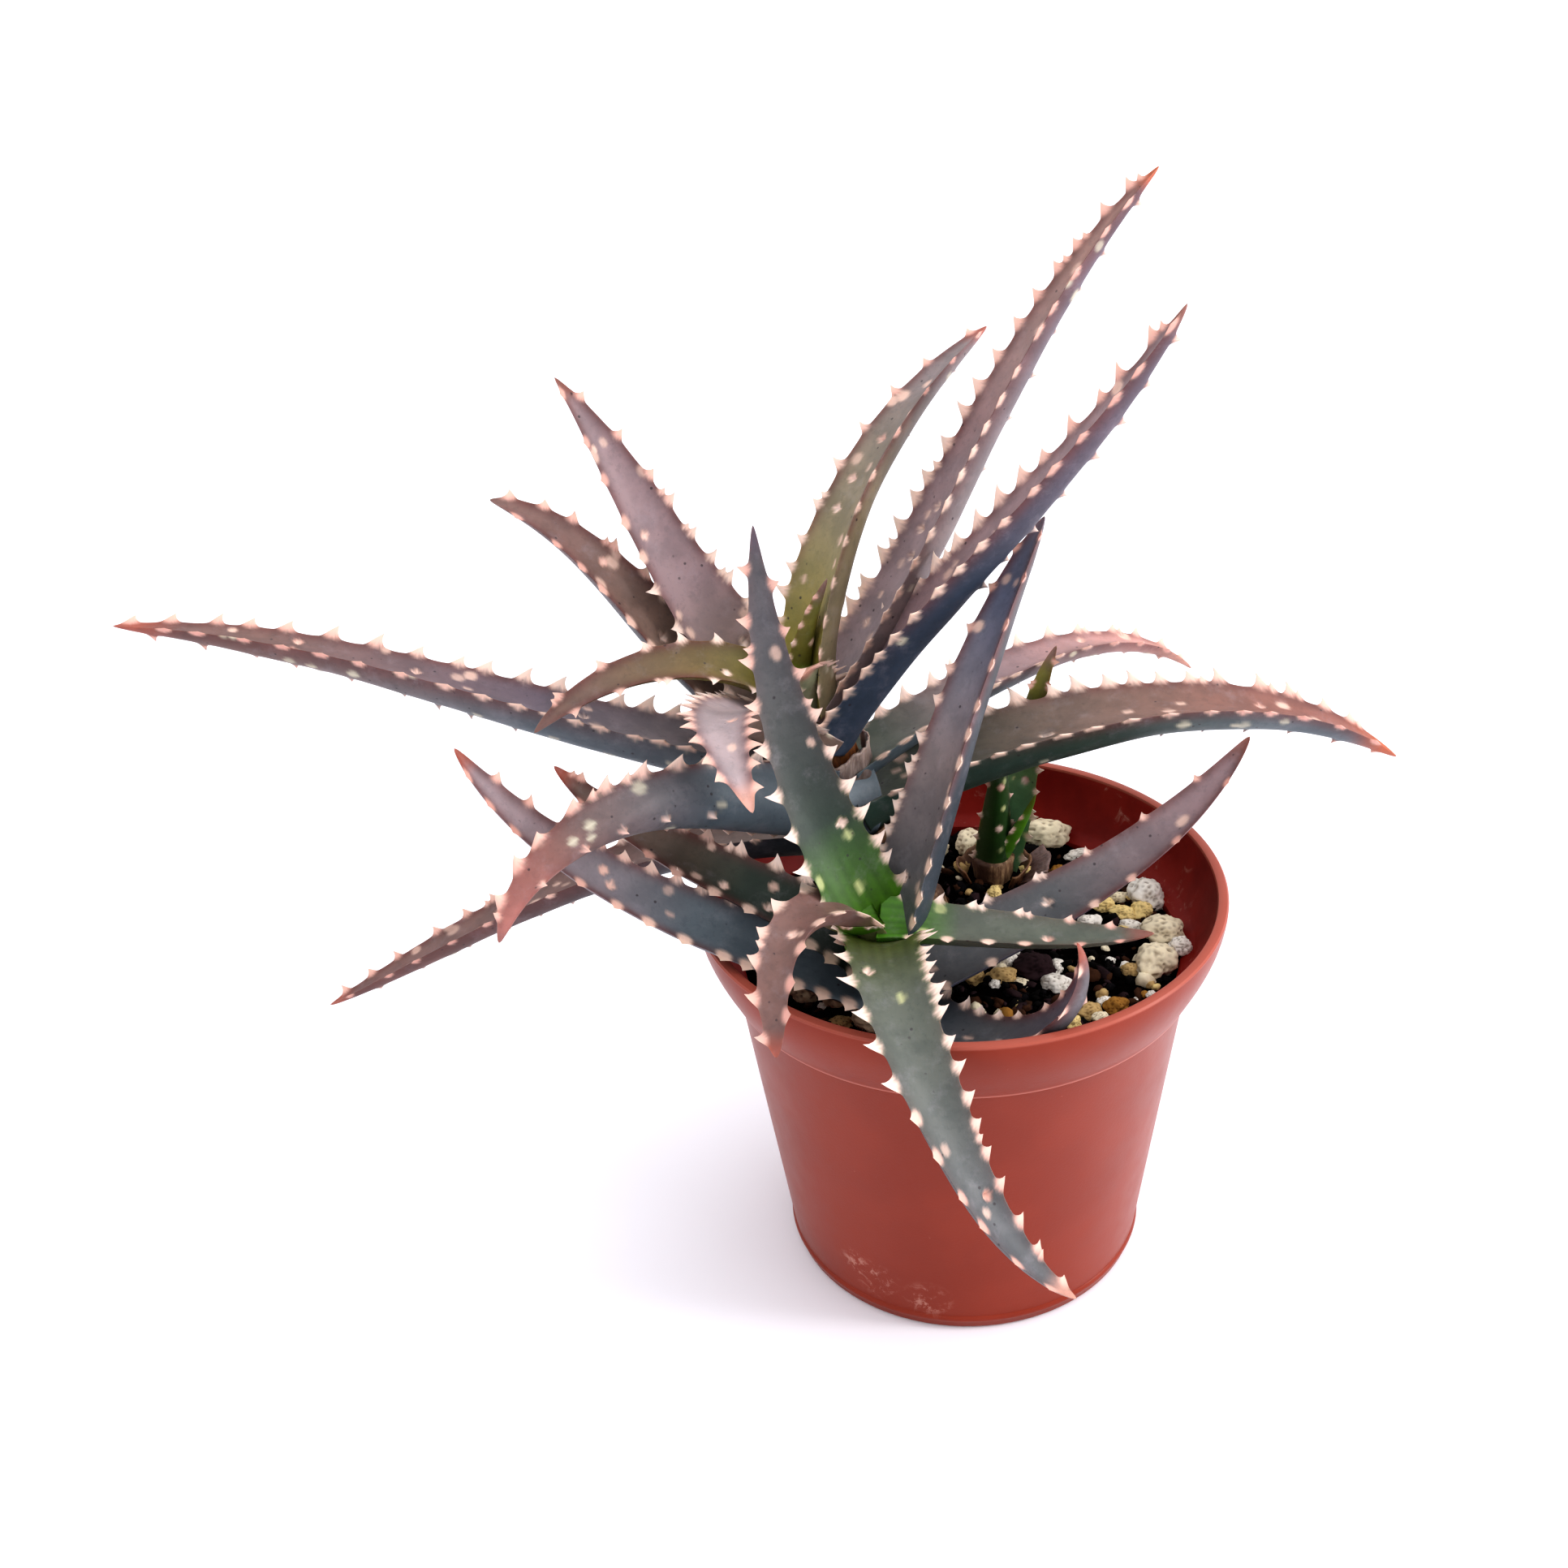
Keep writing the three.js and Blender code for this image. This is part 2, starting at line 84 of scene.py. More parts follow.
scene = bpy.context.scene
scene.view_settings.view_transform = "Standard"
scene.view_settings.look = "Medium High Contrast"
world = bpy.data.worlds.new("white_room")
scene.world = world
world.use_nodes = True
room = world.node_tree.nodes["Background"]
room.inputs["Color"].default_value = ROOM_COLOUR
room.inputs["Strength"].default_value = ROOM_LIGHT
bpy.ops.object.light_add(type="SUN")
lamp = bpy.context.object
lamp.name = "overhead_lamp"
lamp.data.energy = LAMP_POWER
lamp.data.angle = LAMP_WIDTH
lamp.rotation_euler = LAMP_SIDE.to_track_quat("Z", "Y").to_euler()
bpy.ops.object.light_add(type="AREA", location=STRIP_PLACE)
strip = bpy.context.object
strip.name = "side_strip"
strip.data.shape = "RECTANGLE"
strip.data.size = STRIP_WIDTH
strip.data.size_y = STRIP_HEIGHT
strip.data.energy = STRIP_POWER
strip.rotation_euler = (STRIP_AIM - STRIP_PLACE).to_track_quat("-Z", "Y").to_euler()


# Floor. A wide plain sheet of matt white paper that the pot stands on. It lies flat, reaches past the
# edges of the view, and isn't part of the plant.
def new_material(name):
    material = bpy.data.materials.new(name)
    material.use_nodes = True
    return material, material.node_tree, material.node_tree.nodes["Principled BSDF"]


def linear(red, green, blue):
    """A colour as a paint chart gives it, 0 to 255, as the light it sends back."""
    return tuple(((v / 255 + 0.055) / 1.055) ** 2.4 if v > 10 else v / 255 / 12.92
                 for v in (red, green, blue)) + (1,)


FLOOR_SIZE = 9
PAPER_WHITE = (0.89, 0.885, 0.94, 1)
bpy.ops.mesh.primitive_plane_add(size=FLOOR_SIZE)
floor = bpy.context.object
floor.name = "floor"
floor_paper, tree, shader = new_material("floor_paper")
shader.inputs["Base Color"].default_value = PAPER_WHITE
shader.inputs["Roughness"].default_value = 0.9
floor.data.materials.append(floor_paper)


# Pot. A thin nursery pot of moulded brown-red plastic, with a flared rim band, a ledge inside it, a foot
# ring and drain holes. It is turned from one profile, and drilled.
POT_HEIGHT = 68
RIM_RADIUS = 42.5
RIM_WALL = 1.8
BAND_BOTTOM = 55.4
BAND_RADIUS = 38.4
BODY_TOP_RADIUS = 36.9
BODY_BASE_RADIUS = 29.7
WALL = 1.4
FLOOR_TOP = 3.2
POT_STEPS = 144
BAND_STEPS = 8
DRAIN_COUNT = 6
DRAIN_RADIUS = 3
DRAIN_CIRCLE = 18.5
DRAIN_SIDES = 32
EDGE_ANGLE = math.radians(38)


def start_piece():
    """Nothing is selected or in edit mode when a new piece begins."""
    bpy.ops.object.select_all(action="DESELECT")


def finish_modifiers(piece):
    bpy.context.view_layer.objects.active = piece
    for modifier in list(piece.modifiers):
        bpy.ops.object.modifier_apply(modifier=modifier.name)


def weld(nearness):
    """Joins the active piece's points that lie together, and turns all its faces outwards."""
    bpy.ops.object.mode_set(mode="EDIT")
    bpy.ops.mesh.select_all(action="SELECT")
    bpy.ops.mesh.remove_doubles(threshold=nearness)
    bpy.ops.mesh.normals_make_consistent(inside=False)
    bpy.ops.object.mode_set(mode="OBJECT")


def turned(name, profile, steps):
    """A closed profile of radius and height in mm, spun about the middle."""
    start_piece()
    bpy.ops.mesh.primitive_circle_add(vertices=len(profile), fill_type="NOTHING")
    piece = bpy.context.object
    piece.name = name
    for vertex, (radius, height) in zip(piece.data.vertices, profile):
        vertex.co = (radius * MM, 0, height * MM)
    bpy.ops.object.mode_set(mode="EDIT")
    bpy.ops.mesh.select_all(action="SELECT")
    bpy.ops.mesh.spin(steps=steps, angle=2 * math.pi, center=(0, 0, 0), axis=(0, 0, 1))
    weld(1e-6)
    return piece


def band_radius(share):
    """The outer radius of the rim band, which flares more at its foot than at its top."""
    return BAND_RADIUS + (RIM_RADIUS - BAND_RADIUS) * math.sin(share * math.pi / 2)


band = [s / BAND_STEPS for s in range(BAND_STEPS)]
band_height = POT_HEIGHT - BAND_BOTTOM
# The underside and foot ring, the outer wall, the rim band and lip, and the inside with its ledge
pot_profile = [
    (0, 0.15), (9.6, 0.15), (10, 0), (10.6, 0), (11, 0.4), (11, 1.5), (26.4, 1.5), (27, 1.2), (27.3, 0.2),
    (27.6, 0), (28.9, 0), (29.35, 0.15), (29.7, 0.6), (29.9, 1.6), (30.15, 1.9), (30.3, 2.3),
    (30.25, 2.8), (30.05, 3.1),
    (BODY_TOP_RADIUS, BAND_BOTTOM - 0.7), (BODY_TOP_RADIUS + 0.2, BAND_BOTTOM - 0.25),
    (BAND_RADIUS - 0.3, BAND_BOTTOM - 0.1), (BAND_RADIUS - 0.05, BAND_BOTTOM + 0.1),
    *[(band_radius(s), BAND_BOTTOM + 0.3 + band_height * s) for s in band],
    (RIM_RADIUS - 0.05, POT_HEIGHT - 0.35), (RIM_RADIUS - 0.3, POT_HEIGHT - 0.05),
    (RIM_RADIUS - 0.6, POT_HEIGHT), (RIM_RADIUS - RIM_WALL + 0.45, POT_HEIGHT),
    (RIM_RADIUS - RIM_WALL + 0.15, POT_HEIGHT - 0.1), (RIM_RADIUS - RIM_WALL, POT_HEIGHT - 0.5),
    *[(band_radius(s) - RIM_WALL, BAND_BOTTOM + band_height * s) for s in band[:2:-1]],
    (37.9, 58.6), (37.5, 58.1), (35.9, 57.4), (35.45, 57.1), (35.3, 56.6),
    (BODY_TOP_RADIUS - WALL - 0.1, BAND_BOTTOM), (BODY_BASE_RADIUS - WALL + 0.5, FLOOR_TOP + 1.2),
    (BODY_BASE_RADIUS - WALL - 0.4, FLOOR_TOP), (0, FLOOR_TOP),
]
pot = turned("pot_shell", pot_profile, POT_STEPS)
for i in range(DRAIN_COUNT):
    angle = (i + 0.5) / DRAIN_COUNT * 2 * math.pi
    start_piece()
    bpy.ops.mesh.primitive_cylinder_add(
        vertices=DRAIN_SIDES, radius=DRAIN_RADIUS * MM, depth=4 * FLOOR_TOP * MM,
        location=(DRAIN_CIRCLE * MM * math.cos(angle), DRAIN_CIRCLE * MM * math.sin(angle), 0))
    drill = bpy.context.object
    hole = pot.modifiers.new("drain", "BOOLEAN")
    hole.object = drill
    finish_modifiers(pot)
    bpy.data.objects.remove(drill)
start_piece()
pot.select_set(True)
bpy.context.view_layer.objects.active = pot
bpy.ops.object.shade_smooth_by_angle(angle=EDGE_ANGLE)


def add_node(tree, kind, settings=None, **values):
    """A node with its settings and its input values: _3 is its fourth input, and a value may be another
    node's output."""
    node = tree.nodes.new(kind)
    for key, value in (settings or {}).items():
        setattr(node, key, value)
    for key, value in values.items():
        socket = node.inputs[int(key[1:])] if key[0] == "_" else node.inputs[key.replace("_", " ")]
        if isinstance(value, bpy.types.NodeSocket):
            tree.links.new(value, socket)
        else:
            socket.default_value = value
    return node


def object_place(tree):
    return add_node(tree, "ShaderNodeTexCoord").outputs["Object"]


def noise_of(tree, place, scale, detail=3, rough=0.55, distort=0):
    return add_node(tree, "ShaderNodeTexNoise", Vector=place, Scale=scale, Detail=detail,
                    Roughness=rough, Distortion=distort).outputs["Fac"]


def step_of(tree, value, low, high, top=1):
    """0 below low, top above high, and smooth between."""
    return add_node(tree, "ShaderNodeMapRange", {"interpolation_type": "SMOOTHSTEP"}, Value=value,
                    _1=low, _2=high, _3=0.0, _4=float(top)).outputs["Result"]


def mix_of(tree, share, first, second, how="MIX"):
    return add_node(tree, "ShaderNodeMix", {"data_type": "RGBA", "blend_type": how},
                    _0=share, _6=first, _7=second).outputs[2]


def math_of(tree, how, first, second):
    return add_node(tree, "ShaderNodeMath", {"operation": how}, _0=first, _1=second).outputs[0]


def bump_of(tree, height, strength, distance):
    return add_node(tree, "ShaderNodeBump", Strength=strength, Distance=distance, Height=height).outputs[0]


def coat(tree, shader, colour, bump):
    """Joins a colour and a bump to a shader."""
    tree.links.new(colour, shader.inputs["Base Color"])
    tree.links.new(bump, shader.inputs["Normal"])


POT_TONE = linear(124, 41, 21)
POT_TONE_LIGHT = linear(131, 46, 26)
SCUFF_TONE = linear(196, 146, 132)
DUST_TONE = linear(186, 120, 104)
# The colour of the painted highlights on the top of the rim and along the foot of the band
PAINTED_HIGHLIGHT_TONE = linear(196, 118, 104)
# Places low on the front of the wall that are scuffed, and how far each scuff reaches, in mm
SCUFFS = [((-14.6, -27.0, 8.6), 5.5), ((-6.0, -30.0, 6.6), 5.0), ((-17.5, -25.0, 10.5), 4.0)]
pot_plastic, tree, shader = new_material("pot_plastic")
place = object_place(tree)
clouds = noise_of(tree, place, 60, 4)
base = mix_of(tree, step_of(tree, clouds, 0.35, 0.7), POT_TONE, POT_TONE_LIGHT)
scuff_noise = noise_of(tree, place, 420, 8, 0.75, 0.6)
for spot, reach in SCUFFS:
    away = add_node(tree, "ShaderNodeVectorMath", {"operation": "DISTANCE"}, _0=place,
                    _1=[v * MM for v in spot]).outputs["Value"]
    near = step_of(tree, away, reach * MM, 0.2 * reach * MM)
    patch = math_of(tree, "MULTIPLY", near, step_of(tree, scuff_noise, 0.5, 0.62, 0.5))
    base = mix_of(tree, patch, base, SCUFF_TONE)
dust = step_of(tree, noise_of(tree, place, 1100, 4, 0.7), 0.70, 0.78, 0.35)
base = mix_of(tree, dust, base, DUST_TONE)
height = add_node(tree, "ShaderNodeSeparateXYZ", Vector=place).outputs["Z"]
# A lighter band round the top of the rim: painted highlight, where its edge would catch the light
rim_highlight = step_of(tree, height, (POT_HEIGHT - 0.7) * MM, (POT_HEIGHT - 0.2) * MM, 0.35)
base = mix_of(tree, rim_highlight, base, PAINTED_HIGHLIGHT_TONE)
# A thin lighter line along the foot of the rim band: painted highlight
above_seam = step_of(tree, height, (BAND_BOTTOM - 0.6) * MM, (BAND_BOTTOM - 0.1) * MM, 0.5)
below_seam = step_of(tree, height, (BAND_BOTTOM + 0.7) * MM, (BAND_BOTTOM + 0.2) * MM)
seam_highlight = math_of(tree, "MULTIPLY", above_seam, below_seam)
base = mix_of(tree, seam_highlight, base, PAINTED_HIGHLIGHT_TONE)
coat(tree, shader, base, bump_of(tree, noise_of(tree, place, 2600, 2), 0.06, 0.0002))
rough = add_node(tree, "ShaderNodeMapRange", Value=noise_of(tree, place, 240, 5), _3=0.28, _4=0.42)
tree.links.new(rough.outputs[0], shader.inputs["Roughness"])
shader.inputs["Specular IOR Level"].default_value = 0.2

INSIDE_TONE = linear(112, 14, 8)
INSIDE_TONE_LIGHT = linear(132, 26, 17)
CHALK_TONE = linear(196, 150, 136)
pot_inside, tree, shader = new_material("pot_inside")
place = object_place(tree)
clouds = noise_of(tree, place, 90, 5)
base = mix_of(tree, step_of(tree, clouds, 0.35, 0.65), INSIDE_TONE, INSIDE_TONE_LIGHT)
chalk = math_of(tree, "MULTIPLY", step_of(tree, noise_of(tree, place, 330, 8, 0.75, 0.8), 0.55, 0.7, 0.55),
                step_of(tree, noise_of(tree, place, 90, 2), 0.48, 0.6))
base = mix_of(tree, chalk, base, CHALK_TONE)
coat(tree, shader, base, bump_of(tree, noise_of(tree, place, 900, 4), 0.15, 0.0003))
shader.inputs["Roughness"].default_value = 0.55
shader.inputs["Specular IOR Level"].default_value = 0.2
pot.data.materials.append(pot_plastic)
pot.data.materials.append(pot_inside)
for face in pot.data.polygons:
    middle = face.center
    outward = face.normal.x * middle.x + face.normal.y * middle.y
    between = FLOOR_TOP * 0.9 * MM < middle.z < (POT_HEIGHT - 0.6) * MM
    if between and outward < 1e-5:
        face.material_index = 1
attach(pot, "root")
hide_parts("pot")

# Soil. A dark, crumbly mix of peat and bark that was poured into the pot. It fills the pot to a little
# under the ledge, and is uneven on top.
SOIL_LEVEL = 56
SOIL_EDGE = 35.15
SOIL_RINGS = 44
SOIL_SIDES = 120
PEAT_DARK = linear(2, 1, 1)
PEAT_BROWN = linear(12, 7, 6)
PEAT_DAMP = linear(9, 5, 8)


def smooth_all(piece):
    piece.data.polygons.foreach_set("use_smooth", [True] * len(piece.data.polygons))


def soil_height(x, y):
    """The top of the soil in mm at a place in mm."""
    slow = noise.noise(Vector((x * 0.09, y * 0.09, 3.1)))
    middle = noise.noise(Vector((x * 0.3, y * 0.3, 7.7)))
    crumbly = noise.noise(Vector((x * 0.9, y * 0.9, 1.3)))
    return SOIL_LEVEL + 0.2 + 0.012 * x + 1.3 * slow + 0.8 * middle + 0.5 * crumbly


# Up the outside of the soil, 0.3 mm or more from the pot, and then from its edge to its middle
soil_profile = [(0, 3.7), (27.6, 3.7), (28.2, 5.2), (SOIL_EDGE, SOIL_LEVEL - 1.2)]
soil_profile += [(SOIL_EDGE * (1 - i / SOIL_RINGS), SOIL_LEVEL) for i in range(SOIL_RINGS + 1)]
soil = turned("soil_bed", soil_profile, SOIL_SIDES)
for vertex in soil.data.vertices:
    if vertex.co.z > (SOIL_LEVEL - 0.6) * MM:
        vertex.co.z = soil_height(vertex.co.x / MM, vertex.co.y / MM) * MM
smooth_all(soil)
peat, tree, shader = new_material("peat")
place = object_place(tree)
grain = noise_of(tree, place, 900, 6, 0.7)
base = mix_of(tree, step_of(tree, grain, 0.38, 0.62), PEAT_DARK, PEAT_BROWN)
base = mix_of(tree, step_of(tree, noise_of(tree, place, 160, 3), 0.5, 0.65, 0.5), base, PEAT_DAMP)
coat(tree, shader, base, bump_of(tree, grain, 0.9, 0.0008))
shader.inputs["Roughness"].default_value = 0.95
shader.inputs["Specular IOR Level"].default_value = 0.0
soil.data.materials.append(peat)
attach(soil, "root")
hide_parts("soil")

# Stones. White and cream pumice, rounded yellow and tan grains, a purple lava lump and dark crumbs of
# bark and peat lie half sunk in the soil. Each kind is modelled a few times, and copied in many sizes.
STONE_TONES = {
    "white": linear(246, 240, 232), "cream": linear(243, 230, 202), "yellow": linear(240, 214, 150),
    "tan": linear(196, 166, 116), "gold": linear(164, 118, 56), "brown": linear(66, 40, 26),
    "lava": linear(50, 34, 38), "pebble": linear(206, 188, 160), "dark": linear(7, 4, 4),
    "plum": linear(11, 7, 12),
}
# Rows: colour, place to the right and to the back, length, width, and how far it stands up, in mm
STONES = [
    ("cream", 15.3, 30.0, 7.4, 5.6, 1.6), ("white", 20.8, 26.5, 4.4, 2.4, 0.5),
    ("yellow", 12.0, 21.0, 4.4, 2.8, 0.5), ("cream", 2.0, 29.0, 4.2, 6.4, 1.2),
    ("cream", -3.5, 28.0, 3.2, 3.0, 0.6), ("white", 31.4, 12.4, 5.6, 6.0, 1.3),
    ("yellow", 30.0, 8.0, 3.3, 3.7, 0.7), ("yellow", 27.0, 7.0, 4.2, 2.5, 0.5),
    ("yellow", 24.0, 10.0, 3.4, 3.2, 0.4), ("white", 21.0, 4.5, 2.8, 2.4, 0.4),
    ("cream", 27.0, 13.0, 3.4, 2.2, 0.5), ("white", 28.0, 4.0, 3.7, 2.4, 0.5),
    ("cream", 33.0, 0.5, 6.4, 5.2, 1.6), ("cream", 31.0, -7.0, 6.0, 6.8, 1.2),
    ("white", 35.0, -3.9, 3.4, 3.1, 2.2), ("white", 24.0, -5.0, 1.5, 1.4, 0.2),
    ("tan", 27.0, -8.5, 2.8, 2.6, 0.4), ("white", 7.5, -6.0, 3.0, 2.9, 0.4),
    ("lava", 12.0, -7.5, 6.2, 4.8, 0.8), ("white", 15.4, -6.0, 2.1, 3.4, 0.5),
    ("white", 15.0, -11.5, 4.2, 3.5, 0.5), ("tan", 2.5, -9.5, 3.3, 3.5, 0.4),
    ("tan", 6.5, -10.5, 4.5, 3.5, 0.5), ("cream", 9.5, -11.5, 2.4, 2.7, 0.4),
    ("white", 5.5, -13.0, 1.7, 1.7, 0.2), ("tan", 20.0, -18.5, 4.0, 3.2, 0.6),
    ("gold", 24.0, -17.5, 3.5, 3.2, 0.5), ("white", 22.5, -15.5, 2.3, 1.9, 0.4),
    ("cream", 21.5, -21.0, 2.6, 2.0, 0.4), ("yellow", 17.0, -22.0, 2.7, 2.5, 0.4),
    ("white", 29.5, -15.5, 1.5, 1.4, 0.3), ("pebble", -19.0, -14.5, 6.2, 7.0, 1.8),
    ("pebble", -24.0, -13.0, 5.6, 5.0, 1.4), ("tan", -18.5, -21.0, 3.3, 2.4, 0.6),
    ("yellow", 6.0, 14.0, 2.2, 2.9, 0.4), ("pebble", -13.5, -21.5, 5.4, 5.0, 1.4),
    ("white", -26.5, 11.5, 6.0, 5.4, 1.2), ("cream", -20.0, 22.5, 6.4, 5.0, 1.2),
    ("yellow", -12.0, 27.5, 3.6, 3.2, 0.5), ("white", -30.0, 0.5, 4.2, 4.0, 0.6),
    ("tan", -27.0, -6.0, 4.0, 3.4, 0.5), ("cream", -9.0, 18.0, 5.2, 4.6, 0.7),
    ("gold", 17.0, 21.5, 2.6, 2.4, 0.5), ("brown", 15.5, 18.5, 3.6, 3.0, 0.6),
    ("dark", 12.5, 26.0, 4.2, 3.4, 0.5), ("tan", 0.5, 23.5, 2.6, 2.4, 0.4),
]
STONE_MOULDS = 5
STONE_SEED = 11
STAIN = (0.84, 0.77, 0.68, 1)
PIT_TONE = linear(92, 76, 60)
# The colour of the painted shade in the stones' hollows
CREVICE_SHADE_TONE = linear(104, 78, 54)


def stone_mould(index, fineness, lumpiness):
    """One pebble of 1 m across, from a round ball pushed in and out. Its hollows are marked for painted
    shade.
    """
    start_piece()
    bpy.ops.mesh.primitive_ico_sphere_add(subdivisions=fineness, radius=0.5)
    mould = bpy.context.object
    light = []
    for vertex in mould.data.vertices:
        far = vertex.co.normalized()
        key = far * 1.3 + Vector((index * 7.3, index * 1.7, 0))
        bulge = min(abs(noise.noise(far * 2.4 + key)) * 3, 1)
        knob = min(abs(noise.noise(far * 5.2 - key)) * 3, 1)
        swell = lumpiness * (noise.noise(key) + 0.5 * bulge ** 0.6 + 0.16 * knob ** 0.6 - 0.35)
        vertex.co = far * 0.5 * (1 + swell)
        # How open each point is, from 0.2 deep in a hollow to 1 on a bulge: the mask for painted shade in the
        # hollows
        light.append(0.2 + 0.8 * min(bulge * 3, 1) * min(0.6 + knob * 2, 1))
    mould.data.attributes.new("light", "FLOAT", "POINT").data.foreach_set("value", light)
    smooth_all(mould)
    return mould


def lay_stones(name, stones, material):
    """Copies of the moulds, each turned, sized, tinted and pressed into the soil, as one piece."""
    pieces = []
    for mould, kind, place, size, turn in stones:
        piece = mould.copy()
        piece.data = mould.data.copy()
        stretch = Matrix.Diagonal((*[v * MM for v in size], 1))
        piece.data.transform(Matrix.Translation(Vector(place) * MM) @ turn.to_matrix().to_4x4() @ stretch)
        tint = piece.data.color_attributes.new("tint", "FLOAT_COLOR", "POINT")
        tint.data.foreach_set("color", list(STONE_TONES[kind]) * len(piece.data.vertices))
        bpy.context.collection.objects.link(piece)
        pieces.append(piece)
    start_piece()
    for piece in pieces:
        piece.select_set(True)
    bpy.context.view_layer.objects.active = pieces[0]
    bpy.ops.object.join()
    whole = bpy.context.object
    whole.name = name
    whole.data.materials.clear()
    whole.data.materials.append(material)
    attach(whole, "root")


def painted(tree, name, output="Color"):
    """What is painted on the piece's points under a name."""
    return add_node(tree, "ShaderNodeAttribute", {"attribute_name": name}).outputs[output]


stone_finish, tree, shader = new_material("stone_finish")
place = object_place(tree)
tint = painted(tree, "tint")
mottle = noise_of(tree, place, 700, 5, 0.65)
stained = mix_of(tree, 1.0, tint, STAIN, "MULTIPLY")
base = mix_of(tree, step_of(tree, mottle, 0.35, 0.65, 0.3), tint, stained)
pits = add_node(tree, "ShaderNodeTexVoronoi", Vector=place, Scale=1900.0).outputs["Distance"]
holes = step_of(tree, pits, 0.26, 0.10, 0.1)
pitted = math_of(tree, "MULTIPLY", holes, step_of(tree, mottle, 0.45, 0.6))
base = mix_of(tree, pitted, base, PIT_TONE)
# The hollows of each stone are darkened: painted shade
unshaded_share = painted(tree, "light", "Fac")
base = mix_of(tree, unshaded_share, mix_of(tree, 1.0, base, CREVICE_SHADE_TONE, "MULTIPLY"), base)
coat(tree, shader, base, bump_of(tree, math_of(tree, "SUBTRACT", mottle, holes), 0.35, 0.0005))
shader.inputs["Roughness"].default_value = 0.88
shader.inputs["Specular IOR Level"].default_value = 0.1

draw = random.Random(STONE_SEED)


def any_turn():
    """A stone's turn, as it came to rest: tipped by up to about half a right angle, and spun."""
    from_flat = Vector((draw.uniform(-1, 1), draw.uniform(-1, 1), 1)).normalized()
    lean = Vector((0, 0, 1)).rotation_difference(from_flat)
    spin = Matrix.Rotation(draw.uniform(0, 2 * math.pi), 3, "Z").to_quaternion()
    return lean @ spin


big_moulds = [stone_mould(i, 4, 0.3) for i in range(STONE_MOULDS)]
small_moulds = [stone_mould(i + 10, 2, 0.3) for i in range(STONE_MOULDS)]
crumb_moulds = [stone_mould(i + 20, 1, 0.6) for i in range(STONE_MOULDS)]

# The largest stones, which lie where they can be told apart
laid = []
for kind, x, y, length, width, raised in STONES:
    z = soil_height(x, y) + raised
    size = (length * 1.08, width * 1.08, 0.85 * min(length, width))
    turn = Matrix.Rotation(draw.uniform(-0.3, 0.3), 3, "Z").to_quaternion()
    laid.append((draw.choice(big_moulds), kind, (x, y, z), size, turn))
lay_stones("pumice", laid, stone_finish)


def strew(name, moulds, kinds, count, reach, sizes, spread, raised):
    """Many stones all over the soil. Spread gives the ranges of length, width and height beside the size."""
    laid = []
    for i in range(count):
        angle, out = draw.uniform(0, 2 * math.pi), reach * math.sqrt(draw.random())
        x, y = out * math.cos(angle), out * math.sin(angle)
        size = sizes[0] + sizes[1] * draw.random() ** 2
        shape = [size * (draw.uniform(*share) if share else 1) for share in spread]
        place = (x, y, soil_height(x, y) + raised * size)
        laid.append((draw.choice(moulds), draw.choice(kinds), place, shape, any_turn()))
    lay_stones(name, laid, stone_finish)


# Fine gravel between them, and then crumbs of peat and bark all over the soil
GRAVEL_COUNT = 190
GRAVEL_REACH = 33.6
GRAVEL_KINDS = ["white", "cream", "cream", "yellow", "tan", "gold", "brown", "brown", "lava", "dark", "dark"]
GRAVEL_SPREAD = ((1, 1.35), None, (0.6, 0.95))
CRUMB_COUNT = 1300
CRUMB_REACH = 34.2
CRUMB_KINDS = ["dark", "dark", "brown", "plum", "lava"]
CRUMB_SPREAD = ((1, 1.8), (0.7, 1), (0.5, 0.9))
strew("gravel", small_moulds, GRAVEL_KINDS, GRAVEL_COUNT, GRAVEL_REACH, (1.2, 1.7), GRAVEL_SPREAD, 0.15)
strew("crumbs", crumb_moulds, CRUMB_KINDS, CRUMB_COUNT, CRUMB_REACH, (0.7, 1.5), CRUMB_SPREAD, 0.1)
for mould in big_moulds + small_moulds + crumb_moulds:
    bpy.data.objects.remove(mould)

# Stems. Each shoot stands on a leaning stem that is wrapped in the dry, tan-brown feet of leaves that
# have dropped, one above the other.
# Rows: foot and top of the stem's middle line, and its radius at foot and top, in mm
STEMS = {
    "a": ((2, 9, 42), (-25, 9, 99), 3.7, 3.0),
    "b": ((-7.5, -16.5, 42), (-11.7, -22, 75), 3.8, 3.3),
    "d": ((6, 21, 42), (6, 21, 61), 4.4, 3.2),
}
DATUM_HEIGHT = 50
STEM_SIDES = 40
STEM_WRINKLES = 0.13
# Each collar is a dry leaf foot 7 mm high, which swells upwards: how far up it, and how far out, in mm
COLLAR_SPACING = 7
COLLAR_SHAPE = [(0.0, -0.45), (0.3, -0.1), (0.7, 0.3), (0.84, 0.42), (0.9, 0.3), (0.93, -0.3)]
STEM_DARK = linear(96, 66, 44)
STEM_TAN = linear(176, 142, 108)
STEM_PATCH = linear(78, 50, 36)
stem_skin, tree, shader = new_material("stem_skin")
place = object_place(tree)
grain_place = add_node(tree, "ShaderNodeMapping", Vector=place, Scale=(1.0, 1.0, 0.22)).outputs[0]
streak = noise_of(tree, grain_place, 1300, 5, 0.65)
base = mix_of(tree, step_of(tree, streak, 0.35, 0.65), STEM_DARK, STEM_TAN)
patch = step_of(tree, noise_of(tree, place, 150, 4), 0.45, 0.62)
base = mix_of(tree, patch, base, STEM_PATCH)
coat(tree, shader, base, bump_of(tree, streak, 0.5, 0.0005))
shader.inputs["Roughness"].default_value = 0.7
